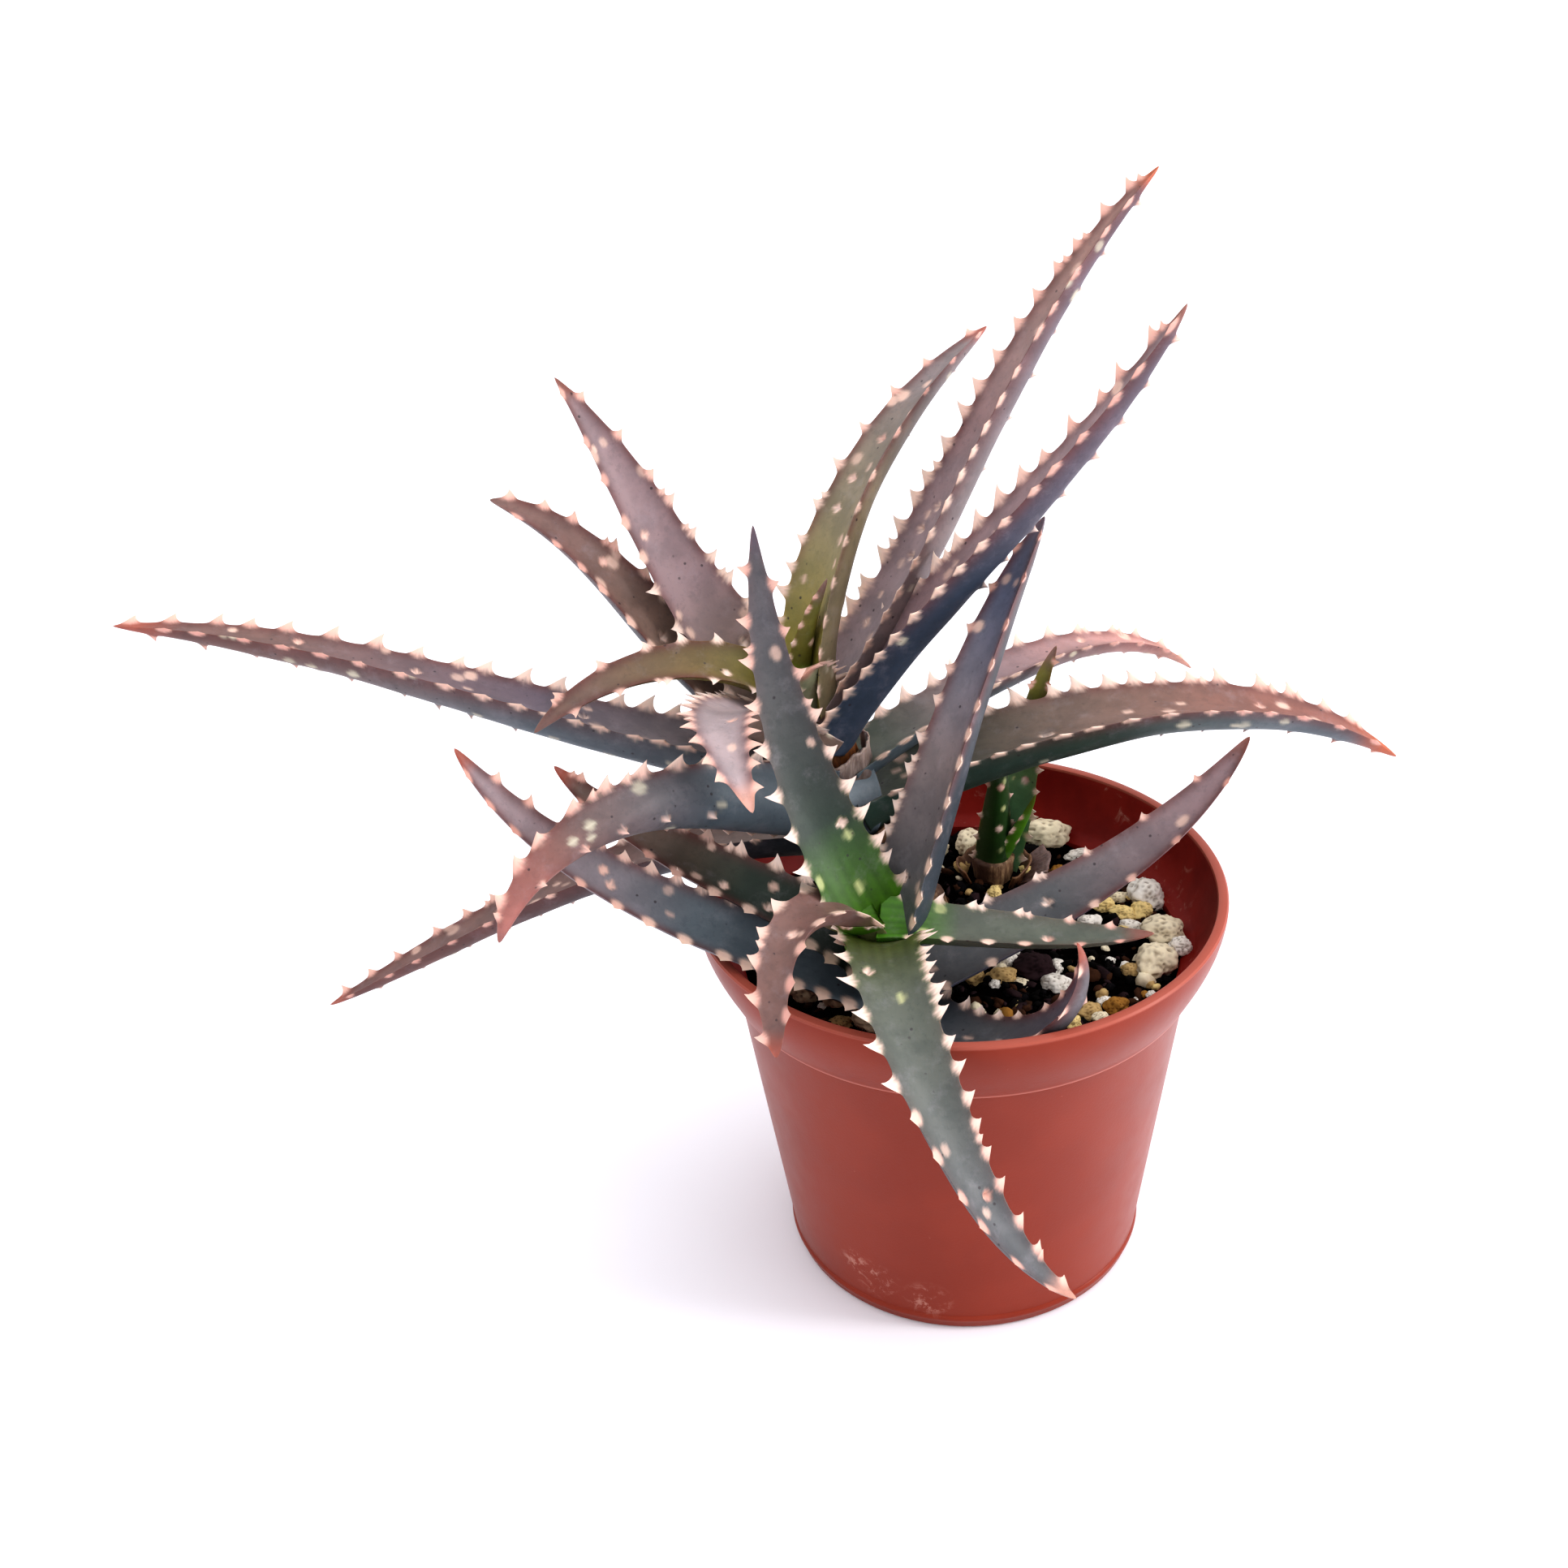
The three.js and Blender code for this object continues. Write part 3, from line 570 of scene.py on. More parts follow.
for stem, (foot, top, foot_radius, top_radius) in STEMS.items():
    axis = Vector(top) - Vector(foot)
    length = axis.length
    collars = round(length / COLLAR_SPACING)
    profile = [(0, 0)]
    for i in range(collars):
        for share, step in COLLAR_SHAPE:
            along = (i + share) / collars
            radius = foot_radius + along * (top_radius - foot_radius)
            profile.append((radius + step, length * along))
    profile += [(top_radius * 0.8, length), (top_radius * 0.4, length + 0.7), (0, length + 0.9)]
    piece = turned("stem_" + stem + "_skin", profile, STEM_SIDES)
    for vertex in piece.data.vertices:
        wrinkle = noise.noise(vertex.co / MM * 0.35 + Vector((0, 0, ord(stem))))
        reach = Vector((vertex.co.x, vertex.co.y, 0))
        vertex.co += reach * STEM_WRINKLES * wrinkle
    tilt = Vector((0, 0, 1)).rotation_difference(axis)
    piece.data.transform(Matrix.Translation(Vector(foot) * MM) @ tilt.to_matrix().to_4x4())
    smooth_all(piece)
    piece.data.materials.append(stem_skin)
    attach(piece, "root")
    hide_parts("stem_" + stem)

# Sheaths. The dry, papery feet of shed leaves, thin, curled and torn at the rim. Each still clasps its
# stem, and goes some or most of the way round it.
SHEATH_STEPS = 48
SHEATH_RINGS = 14
SHEATH_THICKNESS = 0.3
# Rows: name, stem, mm up it, way that the middle faces, how far round it goes, radius at foot and rim,
# height, how uneven its rim is, and colour at foot and rim.
SHEATHS = [
    ("d_cup", "d", 4.6, 80, 280, 4.7, 6.4, 4.4, 1.2, (74, 40, 20), (128, 92, 62)),
    ("d_flap", "d", 6.0, -8, 70, 5.0, 9.6, 3.0, 0.8, (70, 42, 34), (128, 104, 100)),
    ("a_amber", "a", 40.5, -75, 140, 3.8, 5.8, 7.0, 1.6, (110, 60, 20), (190, 160, 100)),
    ("a_grey", "a", 35.0, -40, 170, 4.2, 6.2, 6.5, 1.0, (92, 78, 74), (150, 132, 124)),
    ("a_curl", "a", 21.0, -50, 140, 3.9, 6.2, 6.5, 2.0, (62, 34, 22), (140, 108, 84)),
    ("b_foot", "b", 1.5, -60, 220, 4.6, 6.2, 5.0, 1.4, (72, 46, 30), (150, 122, 92)),
    ("b_back", "b", 6.0, 110, 180, 4.2, 5.6, 5.0, 1.4, (88, 60, 40), (160, 132, 100)),
]
FIBRE_SHADE = (0.5, 0.45, 0.42, 1)
dry_sheath, tree, shader = new_material("dry_sheath")
place = object_place(tree)
tone = painted(tree, "tone")
grain_place = add_node(tree, "ShaderNodeMapping", Vector=place, Scale=(1.0, 1.0, 0.2)).outputs[0]
fibre = noise_of(tree, grain_place, 1500, 5, 0.65)
darker = mix_of(tree, 1.0, tone, FIBRE_SHADE, "MULTIPLY")
base = mix_of(tree, step_of(tree, fibre, 0.4, 0.62, 0.8), tone, darker)
coat(tree, shader, base, bump_of(tree, fibre, 0.4, 0.0004))
shader.inputs["Roughness"].default_value = 0.6
shader.inputs["Subsurface Weight"].default_value = 0.25
shader.inputs["Subsurface Radius"].default_value = (1.0, 0.45, 0.2)
shader.inputs["Subsurface Scale"].default_value = 0.001


def stem_point(stem, height):
    """A place on a stem's middle line, in mm up the stem from about the top of the soil."""
    foot, top = (np.array(p, float) for p in STEMS[stem][:2])
    axis = top - foot
    datum = foot + axis * (DATUM_HEIGHT - foot[2]) / axis[2]
    return datum + axis / np.linalg.norm(axis) * height


for number, row in enumerate(SHEATHS):
    name, stem, height, facing, wrap, foot_radius, rim_radius, tall, uneven, foot_tone, rim_tone = row
    start_piece()
    bpy.ops.mesh.primitive_grid_add(x_subdivisions=SHEATH_STEPS, y_subdivisions=SHEATH_RINGS, size=1)
    piece = bpy.context.object
    piece.name = "sheath_" + name
    axis = Vector(STEMS[stem][1]) - Vector(STEMS[stem][0])
    lean = Vector((0, 0, 1)).rotation_difference(axis)
    foot = Vector(stem_point(stem, height))
    tones = []
    for vertex in piece.data.vertices:
        share = vertex.co.y + 0.5
        turn = math.radians(facing + vertex.co.x * wrap)
        torn = noise.noise(Vector((vertex.co.x * 5, number * 3.3, 0.5)))
        torn += 0.5 * noise.noise(Vector((vertex.co.x * 17, number * 5.1, 2.5)))
        rise = share * (tall + uneven * torn * share)
        radius = foot_radius + (rim_radius - foot_radius) * share ** 1.7
        radius += 0.5 * noise.noise(Vector((vertex.co.x * 6, share * 1.5, number)))
        spot = Vector((radius * math.cos(turn), radius * math.sin(turn), rise))
        vertex.co = (foot + lean @ spot) * MM
        mixed = [a + (b - a) * share ** 1.5 for a, b in zip(foot_tone, rim_tone)]
        tones += linear(*mixed)
    piece.data.color_attributes.new("tone", "FLOAT_COLOR", "POINT").data.foreach_set("color", tones)
    shell = piece.modifiers.new("thick", "SOLIDIFY")
    shell.thickness = SHEATH_THICKNESS * MM
    shell.offset = 0
    finish_modifiers(piece)
    smooth_all(piece)
    piece.data.materials.append(dry_sheath)
    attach(piece, "root")


# Leaves. Each is a thick, channelled, tapering blade of waxy grey, purple or green flesh. Cream teeth
# hook towards the tip along both margins, with smaller ones on the keel, and cream spots lie on the faces.
TONES = {name: linear(*paint) for name, paint in {
    "lime": (136, 196, 34), "grass": (78, 132, 24), "leaf": (72, 118, 14), "forest": (36, 68, 24),
    "moss": (72, 82, 8), "straw": (152, 140, 66), "olive": (112, 108, 44), "bronze": (104, 84, 42),
    "khaki": (134, 122, 96), "sprig": (124, 132, 34), "celadon": (144, 146, 118), "mint": (88, 122, 88),
    "frost": (104, 148, 106), "sage": (84, 88, 78), "pine": (48, 66, 58), "deep": (36, 50, 40),
    "night": (20, 32, 24), "ink": (48, 56, 64), "slateblue": (50, 60, 76), "slate": (88, 98, 106),
    "steel": (94, 97, 118), "storm": (104, 108, 128), "ash": (86, 86, 89), "stone": (94, 90, 94),
    "dusk": (96, 82, 94), "dove": (130, 116, 116), "mauve": (144, 120, 123), "haze": (152, 132, 136),
    "pearl": (164, 146, 148), "taupe": (128, 105, 94), "umber": (116, 92, 82), "brown": (118, 88, 82),
    "clay": (150, 116, 108), "coral": (164, 104, 96), "russet": (134, 84, 74), "rose": (200, 146, 130),
    "petal": (196, 142, 134), "orange": (178, 88, 52), "brick": (158, 82, 66), "maroon": (96, 50, 48),
}.items()}
SPOT_UPPER = linear(226, 190, 174)
SPOT_UNDER = linear(206, 198, 176)
SPOT_GREEN = linear(206, 208, 150)
OVAL_INNER = linear(226, 194, 178)
OVAL_OUTER = linear(204, 152, 140)
TOOTH_INNER = linear(230, 205, 194)
TOOTH_OUTER = linear(220, 178, 164)
# Rows: name, mm up the stem, heading, sweep, slopes at base, middle and tip, length, width, roll, and the
# colours of the upper face at base, middle and outer part, of the underside, inner and outer, and of the tip.
LEAVES = {
    "a": [
        ("a9", 54, -40, 17, (86, 72, 58), 22, 5, 0, "lime lime sprig", "lime olive", "brown"),
        ("a3", 52, 50, -5, (90, 47, 15), 71, 12, -15, "straw khaki dove", "khaki dove", "brick"),
        ("a10", 53, -85, 0, (70, 45, -20), 15, 9, 0, "celadon celadon celadon", "celadon celadon", "rose"),
        ("a1", 50, 157, 0, (25, 58, 48), 66, 12.5, -30, "taupe mauve mauve", "slate dove", "russet"),
        ("a7", 50, 200, 0, (60, 5, -40), 50, 8, -30, "olive bronze umber", "olive bronze", "brown"),
        ("a4", 49.8, 27, -1, (45, 57, 36), 98, 11, -10, "haze mauve clay", "dove dusk", "orange"),
        ("a2", 46, 170, 0, (5, 50, 10), 65, 11.5, -20, "taupe taupe brown", "slate dove", "brown"),
        ("a5", 46, -8, 0, (58, 49, 58), 88, 12, 2, "mauve mauve mauve", "slateblue dusk", "russet"),
        ("a8", 46, 212, 96, (31, 22, -56), 53, 11.5, 0, "pearl pearl pearl", "taupe haze", "rose"),
        ("a14", 43, 150, 10, (5, 20, 35), 32, 6.5, 0, "forest pine pine", "pine pine", "brown"),
        ("a6", 40, 183, 0, (6, 20, 2), 116, 13, 8, "dove dusk brown", "slate brown", "brick"),
        ("a13", 39, 33.2, -1.5, (15.6, 4.1, -49.6), 75.4, 9, 0, "sage mauve petal", "slate petal", "rose"),
        ("a12", 34, 8, 3, (19, 2, -43), 95, 15.5, -2, "sage umber russet", "pine slate", "orange"),
        ("a11", 32, 214, 12, (10, 15, -68), 74, 13, 80, "slate brown brown", "slate brown", "coral"),
        ("a15", 25, 186, 4, (14.5, -19, -27), 100, 11.3, 5, "taupe brown brown", "ink brown", "brick"),
    ],
    "b": [
        ("b9", 28, 200, -8, (-4, 9, 30), 10, 6, 0, "leaf leaf grass", "leaf leaf", "brown"),
        ("b3", 27, -4, 0, (0, -4, 8), 40.5, 8, 10, "grass sage sage", "grass sage", "russet"),
        ("b1", 24, 170, -69, (63, 68, 80), 65, 12.5, -30, "leaf deep stone", "leaf pine", "dusk"),
        ("b5", 23, -94, 73, (47, -46, -21), 70, 10.5, 0, "moss sage ash", "moss ash", "rose"),
        # b2's dark ink and stone underside colours are painted shade
        ("b2", 22, 51.3, 4.2, (61.6, 54.3, 34.4), 69.4, 12, -20, "ash dove storm", "ink stone", "dusk"),
        ("b6", 18.5, 188, 98, (89, -2, -96), 47, 8.5, 0, "leaf brown brown", "leaf brown", "brick"),
        # b8's near-black greens are painted shade, for the shadow it lies in under a11
        ("b8", 16.4, 163, 0, (39, 19.5, 46), 61, 10, -20, "night deep umber", "night brown", "brick"),
        ("b4", 14, 22, 3, (15, 21, 53), 68, 11, 20, "ash ash mauve", "steel mauve", "russet"),
        ("b7", 12, 180, -5, (24, 29, 62), 78, 10.5, -25, "slate slate haze", "slate haze", "brick"),
        # The ink at b10's base, on both faces, is painted shade where it comes up out of the shadow
        ("b10", 11, -51, 54, (-5, 26, 107), 44.6, 9.5, 0, "ink ash dusk", "ink stone", "brick"),
    ],
    "d": [
        ("d1", 8, -80, 5, (79, 77, 77), 26, 6, 0, "forest forest forest", "forest forest", "moss"),
        ("d2", 6, 6.8, 21.6, (64.6, 81.9, 59.2), 43.9, 6.3, 65, "frost frost olive", "frost frost", "brown"),
        ("d3", 8.5, -30, 0, (63, 63, 66), 18, 4, 0, "grass grass mint", "grass grass", "moss"),
    ],
}
RING_STEP = 0.33
COLUMNS = 48
LINE_STEPS = 400
# The share of the width lost by the tip, and how late it is lost, with the leaves that narrow more
TAPER = (0.72, 1.8)
SLIM = {"a1": (0.85, 1.8), "b1": (0.85, 1.15)}
TIP_CURVE = 12
TIP_POWER = 0.6
WAVER = 0.05
BASE_FLARE = 0.15
# Teeth: how far up the leaf they begin, and at base and tip how far apart, how tall and how long they are
FIRST_TOOTH = 7.0
TOOTH_SPACING = (4.0, 6.8)
TOOTH_HEIGHT = (2.5, 1.4)
TOOTH_REACH = (1.6, 1.2)
FULL_WIDTH = 8
TWIN_CHANCE = 0.2
TWIN_SHARE = 0.55
FOOT_SHARE = 0.18
HOOK_SHARE = 0.35
# One spot to so many square mm of blade, and how far it stands up
SPOT_AREA = 40
SPOT_LIFT = 0.12
# Leaves whose teeth are closer or wider apart, larger or finer, or that carry more or fewer spots: the
# gap between teeth, their size and the number of spots, each beside the usual one.
HABIT = {
    "a1": (1.1, 0.9, 1.6), "a3": (1.15, 0.8, 1.0), "a4": (0.95, 1.2, 1.0), "a5": (0.95, 1.3, 0.8),
    "a6": (1.0, 1.2, 1.0), "a7": (1.3, 0.8, 0.7), "a8": (0.5, 1.15, 0.3), "a9": (0.6, 0.35, 1.5),
    "a10": (0.3, 1.1, 0.0), "a11": (0.85, 1.4, 0.8), "a12": (1.0, 1.25, 0.9), "a15": (1.1, 0.8, 1.6),
    "b1": (1.1, 1.0, 0.3), "b2": (1.0, 0.85, 0.5), "b3": (1.2, 0.7, 0.7), "b4": (1.7, 0.6, 0.2),
    "b5": (0.95, 1.0, 0.8), "b6": (0.9, 1.1, 0.5), "b7": (1.0, 1.0, 0.5), "b9": (0.45, 0.45, 1.0),
    "b10": (0.9, 0.9, 0.5), "d1": (1.2, 0.5, 3.0), "d2": (0.8, 0.6, 1.0), "d3": (0.6, 0.4, 1.0),
}
BACK_HOOKED = ("a6", "a11", "a12", "b5", "b6", "b10")
# Margins that face the viewer carry low, broad, oval teeth: 1 is the right margin and -1 is the left one.
# LOW_FROM is the share of the length from which they do so, where that isn't the whole length.
LOW_TEETH = {
    "a1": 1, "a2": 1, "a3": -1, "a4": -1, "a5": -1, "a6": 1, "a11": -1, "a12": -1, "a13": -1, "a15": 1,
    "b2": -1, "b3": -1, "b4": -1, "b5": -1, "b6": 1, "b7": 1, "b8": 1,
}
LOW_FROM = {"a1": 0.5, "b5": 0.5}
# A low tooth's height beside a full one's, its oval's width, and how many columns in the oval lies
LOW_SHARE = 0.55
LOW_PATCH = 1.5
LOW_INWARD = COLUMNS // 12
# How far a tooth turns up from the plane of its blade, on the leaves whose margins curl up, and elsewhere
CURLED = ("a3", "a4", "a5", "a6", "a12", "a13", "a15")
CURL = 0.7
NO_CURL = 0.12
# Young leaves with dark green lines along the foot of the blade, how close they are, and how dark
STRIPED = ("b1", "b3", "b5", "b9")
STRIPE_RATE = 19
STRIPE_DEPTH = 0.3
# How far from the tip its colour reaches, in mm
TIP_SPAN = {"a6": 12, "a11": 22, "a12": 12, "a13": 14}
SHORT_TIP = 5.5
# Leaves whose red margin line on the side of the low teeth is wider than on the others
RED_REACH = {"a4": 2.0, "a5": 1.4, "a6": 2.2, "a12": 1.6, "a13": 1.6, "a15": 3.2}
RED_USUAL = 1.1
RED_DEPTH = 0.72
RED_DEPTH_GREEN = 0.15
# Leaves that are green at the base turn to their middle colour sooner than the others do
GREENS = ("lime", "grass", "leaf", "forest", "moss", "frost")
COLOUR_STOPS_GREEN = (0, 0.06, 0.3, 0.8, 1.0)
COLOUR_STOPS = (0, 0.12, 0.42, 0.8, 1.0)
LEAF_SHADE = (0.62, 0.66, 0.68, 1)
BLOOM_TONE = linear(168, 160, 170)
FLECK_TONE = linear(40, 30, 36)


def blend(first, second, share):
    """The first value at share 0, the second at share 1."""
    return first + (second - first) * share


def smooth(value, low, high):
    """0 below low, 1 above high, and smooth between; the other way round where low is the larger."""
    share = np.clip((value - low) / (high - low), 0, 1)
    return share * share * (3 - 2 * share)


def blade_frames(heading, sweep, slopes, roll, t):
    """The way along, the side and the upper face's normal, at each share t of the length."""
    base, middle, tip = slopes
    rise = np.radians(base * (1 - t) * (1 - 2 * t) + 4 * middle * t * (1 - t) + tip * t * (2 * t - 1))
    aim = np.radians(heading + sweep * t)
    along = np.stack([np.cos(rise) * np.cos(aim), np.cos(rise) * np.sin(aim), np.sin(rise)], -1)
    side = np.stack([-np.sin(aim), np.cos(aim), 0 * aim], -1)
    turn = math.radians(roll)
    side = side * math.cos(turn) + np.cross(along, side) * math.sin(turn)
    return along, side, np.cross(along, side)


# The section of a blade, as shares of its half width, round from the keel: over the right margin, across
# the shallow channel of the upper face, and back over the left margin.
swing = np.arange(COLUMNS) / COLUMNS * 2 * math.pi
section_x = np.sin(swing)
section_x = np.sign(section_x) * np.abs(section_x) ** 0.9
below = -0.85 * (1 - np.abs(section_x) ** 2.2) ** 0.8 + 0.15 * section_x ** 4
above = -0.12 + 0.27 * section_x ** 2
section_y = np.where(np.cos(swing) > 1e-9, below, above)
section_gap = np.hypot(np.roll(section_x, -1) - section_x, np.roll(section_y, -1) - section_y)
section_at = np.concatenate([[0], np.cumsum(section_gap)[:-1]])
section_round = section_gap.sum()
RIGHT_COLUMN = COLUMNS // 4
LEFT_COLUMN = 3 * COLUMNS // 4
on_upper_face = smooth(-np.cos(swing), -0.12, 0.12)


def column_distance(column):
    """How far each column of points is from one of them, round the blade, for a half width of 1."""
    away = np.abs(section_at - section_at[column])
    return np.minimum(away, section_round - away)


leaf_skin, tree, shader = new_material("leaf_skin")
place = object_place(tree)
tone = painted(tree, "tone")
pale = painted(tree, "pale", "Fac")
cloudy = noise_of(tree, place, 170, 5, 0.6)
shaded = mix_of(tree, 1.0, tone, LEAF_SHADE, "MULTIPLY")
base = mix_of(tree, step_of(tree, cloudy, 0.38, 0.62, 0.55), tone, shaded)
flecks = noise_of(tree, place, 900, 4, 0.65)
base = mix_of(tree, step_of(tree, flecks, 0.52, 0.66, 0.4), base, shaded)
bloom = step_of(tree, noise_of(tree, place, 240, 6, 0.7), 0.5, 0.75, 0.14)
base = mix_of(tree, bloom, base, BLOOM_TONE)
dots = add_node(tree, "ShaderNodeTexVoronoi", {"feature": "F1"}, Vector=place, Scale=520.0)
small = step_of(tree, dots.outputs["Distance"], 0.16, 0.08, 0.8)
chosen = step_of(tree, noise_of(tree, place, 260, 2), 0.5, 0.56)
base = mix_of(tree, math_of(tree, "MULTIPLY", small, chosen), base, FLECK_TONE)
base = mix_of(tree, pale, base, tone)
coat(tree, shader, base, bump_of(tree, noise_of(tree, place, 1500, 4, 0.6), 0.12, 0.0002))
rough = add_node(tree, "ShaderNodeMapRange", Value=cloudy, _3=0.42, _4=0.6)
tree.links.new(rough.outputs[0], shader.inputs["Roughness"])
shader.inputs["Specular IOR Level"].default_value = 0.4
shader.inputs["Subsurface Weight"].default_value = 0.12
shader.inputs["Subsurface Radius"].default_value = (1.0, 0.5, 0.3)
shader.inputs["Subsurface Scale"].default_value = 0.0012


class Blade:
    """One leaf: rings of points along a curved line, and the teeth and spots that stand out from them."""

    def __init__(self, stem, row, seed):
        self.stem = stem
        self.name, height, heading, sweep, slopes, length, width, roll = row[:8]
        self.length = length
        self.width = width
        self.chance = random.Random(seed)
        rings = int(length / RING_STEP)
        t = np.concatenate([[0], np.linspace(0, 1, rings)])
        self.t = t
        self.reach = t * length
        self.ring_gap = length / (rings - 1)
        self.along, self.side, self.face = blade_frames(heading, sweep, slopes, roll, t)
        fine = np.linspace(0, 1, LINE_STEPS + 1)
        halfway = (fine[:-1] + fine[1:]) / 2
        steps = blade_frames(heading, sweep, slopes, roll, halfway)[0] * length / LINE_STEPS
        line = stem_point(stem, height) + np.concatenate([np.zeros((1, 3)), np.cumsum(steps, 0)])
        self.centre = np.stack([np.interp(t, fine, line[:, k]) for k in range(3)], -1)
        waver = np.array([noise.noise(Vector((s * 0.07, seed, 0))) for s in self.reach])
        taper, curve = SLIM.get(self.name, TAPER)
        half = width / 2 * (1 - taper * t ** curve) * (1 + WAVER * waver)
        half = half * np.maximum(1 - t ** TIP_CURVE, 0) ** TIP_POWER
        self.half = half * (1 + BASE_FLARE * np.exp(-self.reach / 4))
        # How far each point is moved out, up and along, in mm, and how much of it is cream, horn or margin
        self.out = np.zeros((len(t), COLUMNS))
        self.lift = np.zeros_like(self.out)
        self.lean = np.zeros_like(self.out)
        self.pale = np.zeros_like(self.out)
        self.horn = np.zeros_like(self.out)
        self.edge = np.zeros_like(self.out)
        self.hook = -1 if self.name in BACK_HOOKED else 1
        self.gap_share, size_share, self.spot_share = HABIT.get(self.name, (1, 1, 1))
        self.stout = min(1, width / FULL_WIDTH) * size_share
        self.low_side = LOW_TEETH.get(self.name, 0)

    def around(self, at, column):
        """How far each point is from a place on the blade, along it and across it, in mm."""
        return (self.reach - at)[:, None], column_distance(column)[None, :] * self.half[:, None]

    def add_tooth(self, at, column, tall, wide, patch=1.0, inward=0):
        """A hooked thorn on a flared foot, with a pale oval under it or inward from it."""
        run, across = self.around(round(at / self.ring_gap) * self.ring_gap, column)
        ahead_run = run * self.hook
        u = np.where(ahead_run < 0, -ahead_run / (1.15 * wide), ahead_run / (0.95 * wide))
        spike = tall * np.clip(1 - u, 0, 1) ** 1.7 * np.exp(-(across / 0.5) ** 2)
        foot = FOOT_SHARE * tall * np.exp(-(u / 1.1) ** 2 - (across / 1.1) ** 2)
        curl = CURL if self.name in CURLED else NO_CURL
        away = (np.sign(section_x[column]) * (1 - 0.35 * curl), curl)
        if column not in (RIGHT_COLUMN, LEFT_COLUMN):
            away = (0, np.sign(section_y[column] - 0.001))
        self.out += (spike + foot) * away[0]
        self.lift += (spike + foot) * away[1]
        self.lean += HOOK_SHARE * self.hook * spike ** 2 / tall
        middle = column + (inward if column < COLUMNS // 2 else -inward)
        beside = self.around(at, middle)[1]
        oval = np.exp(-(run / (0.7 * wide + 0.35)) ** 2 - (beside / (0.75 * patch)) ** 2)
        cover = np.maximum(smooth(spike / tall, 0.04, 0.25), 0.9 * smooth(oval, 0.25, 0.8))
        self.pale = np.maximum(self.pale, cover)
        self.edge = np.maximum(self.edge, cover)
        if not inward:
            self.horn = np.maximum(self.horn, spike / tall)

    def add_margin_teeth(self, column):
        """The row of teeth along one margin; the one that faces the viewer may have low, oval teeth."""
        chance = self.chance
        low_margin = self.low_side * section_x[column] > 0.5
        at = FIRST_TOOTH * min(1, self.length / 50) * chance.uniform(0.6, 1.1)
        while at < self.length - 2.5:
            t_here = at / self.length
            tall = blend(*TOOTH_HEIGHT, t_here ** 0.8) * self.stout * chance.uniform(0.75, 1.2)
            wide = blend(*TOOTH_REACH, t_here) * max(self.stout, 0.5) * chance.uniform(0.85, 1.15)
            wide *= min(1, 1.7 * self.gap_share)
            if low_margin and t_here >= LOW_FROM.get(self.name, 0):
                fading = 1 - 0.5 * t_here
                low = LOW_SHARE * fading * tall
                self.add_tooth(at, column, low, 1.1 * wide, LOW_PATCH * fading, LOW_INWARD)
            else:
                self.add_tooth(at, column, tall, wide)
                if chance.random() < TWIN_CHANCE:
                    self.add_tooth(at + 1.2 * wide, column, tall * TWIN_SHARE, wide * TWIN_SHARE)
            at += blend(*TOOTH_SPACING, t_here) * chance.uniform(0.75, 1.25) * self.gap_share

    def add_face_teeth(self):
        """Small teeth along the outer half of the keel, and a few on the upper face."""
        chance = self.chance
        at = self.length * chance.uniform(0.4, 0.5)
        while at < self.length - 4:
            self.add_tooth(at, 0, chance.uniform(0.4, 0.9) * self.stout, 0.9, 0.7)
            at += chance.uniform(5, 9)
        centre = COLUMNS // 2
        for i in range(round(self.length / 25 * self.spot_share)):
            column = chance.choice([centre - 3, centre - 1, centre + 2, centre + 4])
            at = self.length * chance.uniform(0.12, 0.8)
            self.add_tooth(at, column, chance.uniform(0.4, 1.3), 1.0, 0.9)

    def add_spots(self):
        """Cream spots that stand up a little, all over the blade but not on its margins."""
        chance = self.chance
        for i in range(round(self.length * self.width / SPOT_AREA * self.spot_share)):
            at = self.length * chance.uniform(0.06, 0.85)
            column = chance.randrange(COLUMNS)
            if min(abs(column - RIGHT_COLUMN), abs(column - LEFT_COLUMN)) < 3:
                continue
            run, across = self.around(at, column)
            size = chance.uniform(0.5, 0.95) * (0.6 if self.stem == "d" else 1)
            drop = np.exp(-(run / (1.4 * size)) ** 2 - (across / size) ** 2)
            self.pale = np.maximum(self.pale, chance.uniform(0.5, 0.85) * smooth(drop, 0.2, 0.7))
            self.lift += SPOT_LIFT * drop * np.sign(section_y - 0.03)[None, :]

    def points(self):
        """Where every point of every ring is, in mm. The first and last rings close to a point."""
        x = self.half[:, None] * section_x + self.out
        y = self.half[:, None] * section_y + self.lift
        side, face = self.side[:, None, :], self.face[:, None, :]
        points = self.centre[:, None, :] + x[..., None] * side + y[..., None] * face
        points = points + self.lean[..., None] * self.along[:, None, :]
        points[0] = self.centre[0]
        points[-1] = self.centre[-1]
        return points

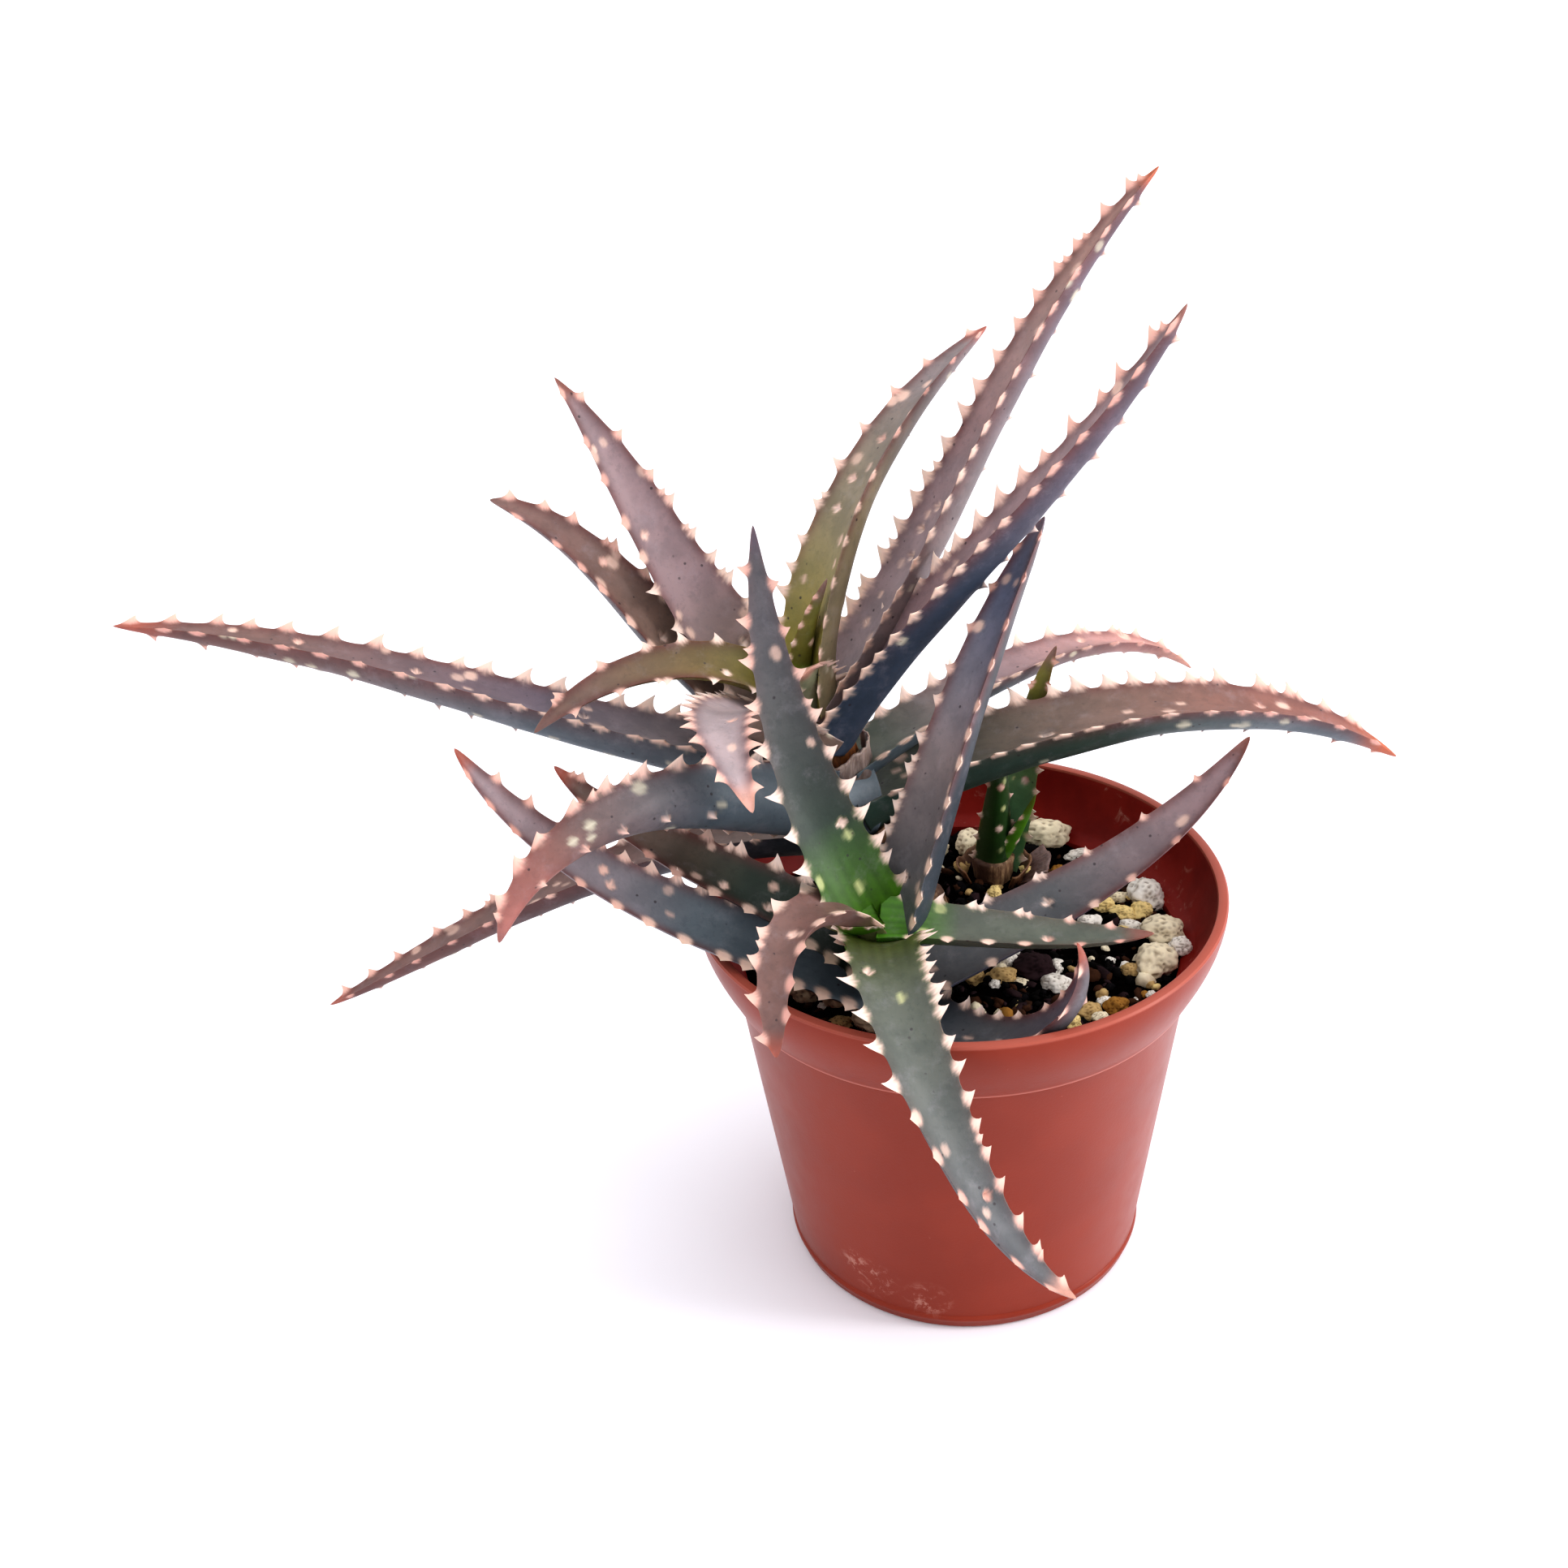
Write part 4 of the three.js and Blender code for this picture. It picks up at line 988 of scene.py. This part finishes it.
    def flesh_tones(self, upper, under, tip):
        """The colour of the flesh: two faces, red margins, stripes at the base, and a coloured tip."""
        t = self.t
        green = upper[0] in GREENS
        stops = COLOUR_STOPS_GREEN if green else COLOUR_STOPS
        top = np.array([TONES[upper[k]] for k in (0, 0, 1, 2, 2)])
        low = np.array([TONES[under[k]] for k in (0, 0, 0, 1, 1)])
        if green:
            low[:2] = TONES[upper[0]]
            low[2] = TONES[under[1]]
        low_face = np.stack([np.interp(t, stops, low[:, k]) for k in range(4)], -1)
        top_face = np.stack([np.interp(t, stops, top[:, k]) for k in range(4)], -1)
        tone = blend(low_face[:, None, :], top_face[:, None, :], on_upper_face[None, :, None])
        margin = np.minimum(column_distance(RIGHT_COLUMN), column_distance(LEFT_COLUMN))
        red = np.exp(-(margin[None, :] * self.half[:, None] / RED_USUAL) ** 2)
        if self.name in RED_REACH:
            near = column_distance(RIGHT_COLUMN if self.low_side > 0 else LEFT_COLUMN)
            near_red = np.exp(-(near[None, :] * self.half[:, None] / RED_REACH[self.name]) ** 2)
            red = np.maximum(red, near_red)
        red = red * smooth(t, 0.12, 0.5)[:, None] * (RED_DEPTH_GREEN if green else RED_DEPTH)
        tone = blend(tone, np.array(TONES["maroon"]), red[..., None])
        if self.name in STRIPED:
            stripes = 0.5 + 0.5 * np.cos(section_x * STRIPE_RATE)
            near_base = 1 - smooth(t, 0.1, 0.3)
            tone = tone * (1 - STRIPE_DEPTH * stripes[None, :, None] * near_base[:, None, None])
        span = TIP_SPAN.get(self.name, SHORT_TIP)
        tip_share = smooth(self.reach, self.length - span, self.length - 0.27 * span)[:, None, None] * 0.9
        return blend(tone, np.array(TONES[tip]), tip_share)

    def cream_tones(self, green):
        """The colour of spots, ovals and teeth, which are rosier towards the tip."""
        outer = smooth(self.t, 0.35, 0.8)[:, None, None]
        cream = blend(np.array(SPOT_UNDER), np.array(SPOT_UPPER), on_upper_face[None, :, None])
        if green:
            past_base = smooth(self.t, 0.25, 0.5)[:, None, None] * (self.stem != "d")
            cream = blend(np.array(SPOT_GREEN), cream, past_base)
        oval_tone = blend(np.array(OVAL_INNER), np.array(OVAL_OUTER), outer)
        cream = blend(cream, oval_tone, smooth(self.edge, 0.0, 0.5)[..., None])
        tooth_tone = blend(np.array(TOOTH_INNER), np.array(TOOTH_OUTER), outer)
        return blend(cream, tooth_tone, smooth(self.horn, 0.05, 0.6)[..., None])


def grow_leaf(stem, row, seed):
    """One leaf on its stem, shaped, toothed, spotted, coloured, and closed at both ends."""
    blade = Blade(stem, row, seed)
    blade.add_margin_teeth(RIGHT_COLUMN)
    blade.add_margin_teeth(LEFT_COLUMN)
    blade.add_face_teeth()
    blade.add_spots()
    upper, under, tip = row[8].split(), row[9].split(), row[10]
    cream = blade.cream_tones(upper[0] in GREENS)
    tone = blend(blade.flesh_tones(upper, under, tip), cream, blade.pale[..., None])
    points = blade.points()

    start_piece()
    last_ring = len(blade.t) - 1
    bpy.ops.mesh.primitive_grid_add(x_subdivisions=last_ring, y_subdivisions=COLUMNS, size=1)
    piece = bpy.context.object
    piece.name = "leaf_" + blade.name + "_blade"
    mesh = piece.data
    flat = np.empty(len(mesh.vertices) * 3)
    mesh.vertices.foreach_get("co", flat)
    flat = flat.reshape(-1, 3)
    ring = np.rint((flat[:, 0] + 0.5) * last_ring).astype(int)
    column = np.rint((flat[:, 1] + 0.5) * COLUMNS).astype(int) % COLUMNS
    mesh.vertices.foreach_set("co", (points[ring, column] * MM).ravel())
    tones = mesh.color_attributes.new("tone", "FLOAT_COLOR", "POINT")
    tones.data.foreach_set("color", tone[ring, column].ravel())
    creamy = mesh.attributes.new("pale", "FLOAT", "POINT")
    creamy.data.foreach_set("value", blade.pale[ring, column])
    weld(2e-6)
    smooth_all(piece)
    mesh.materials.append(leaf_skin)
    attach(piece, "root")
    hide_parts("leaf_" + blade.name)


for stem, rows in LEAVES.items():
    for order, row in enumerate(rows):
        grow_leaf(stem, row, ord(stem) * 100 + order)
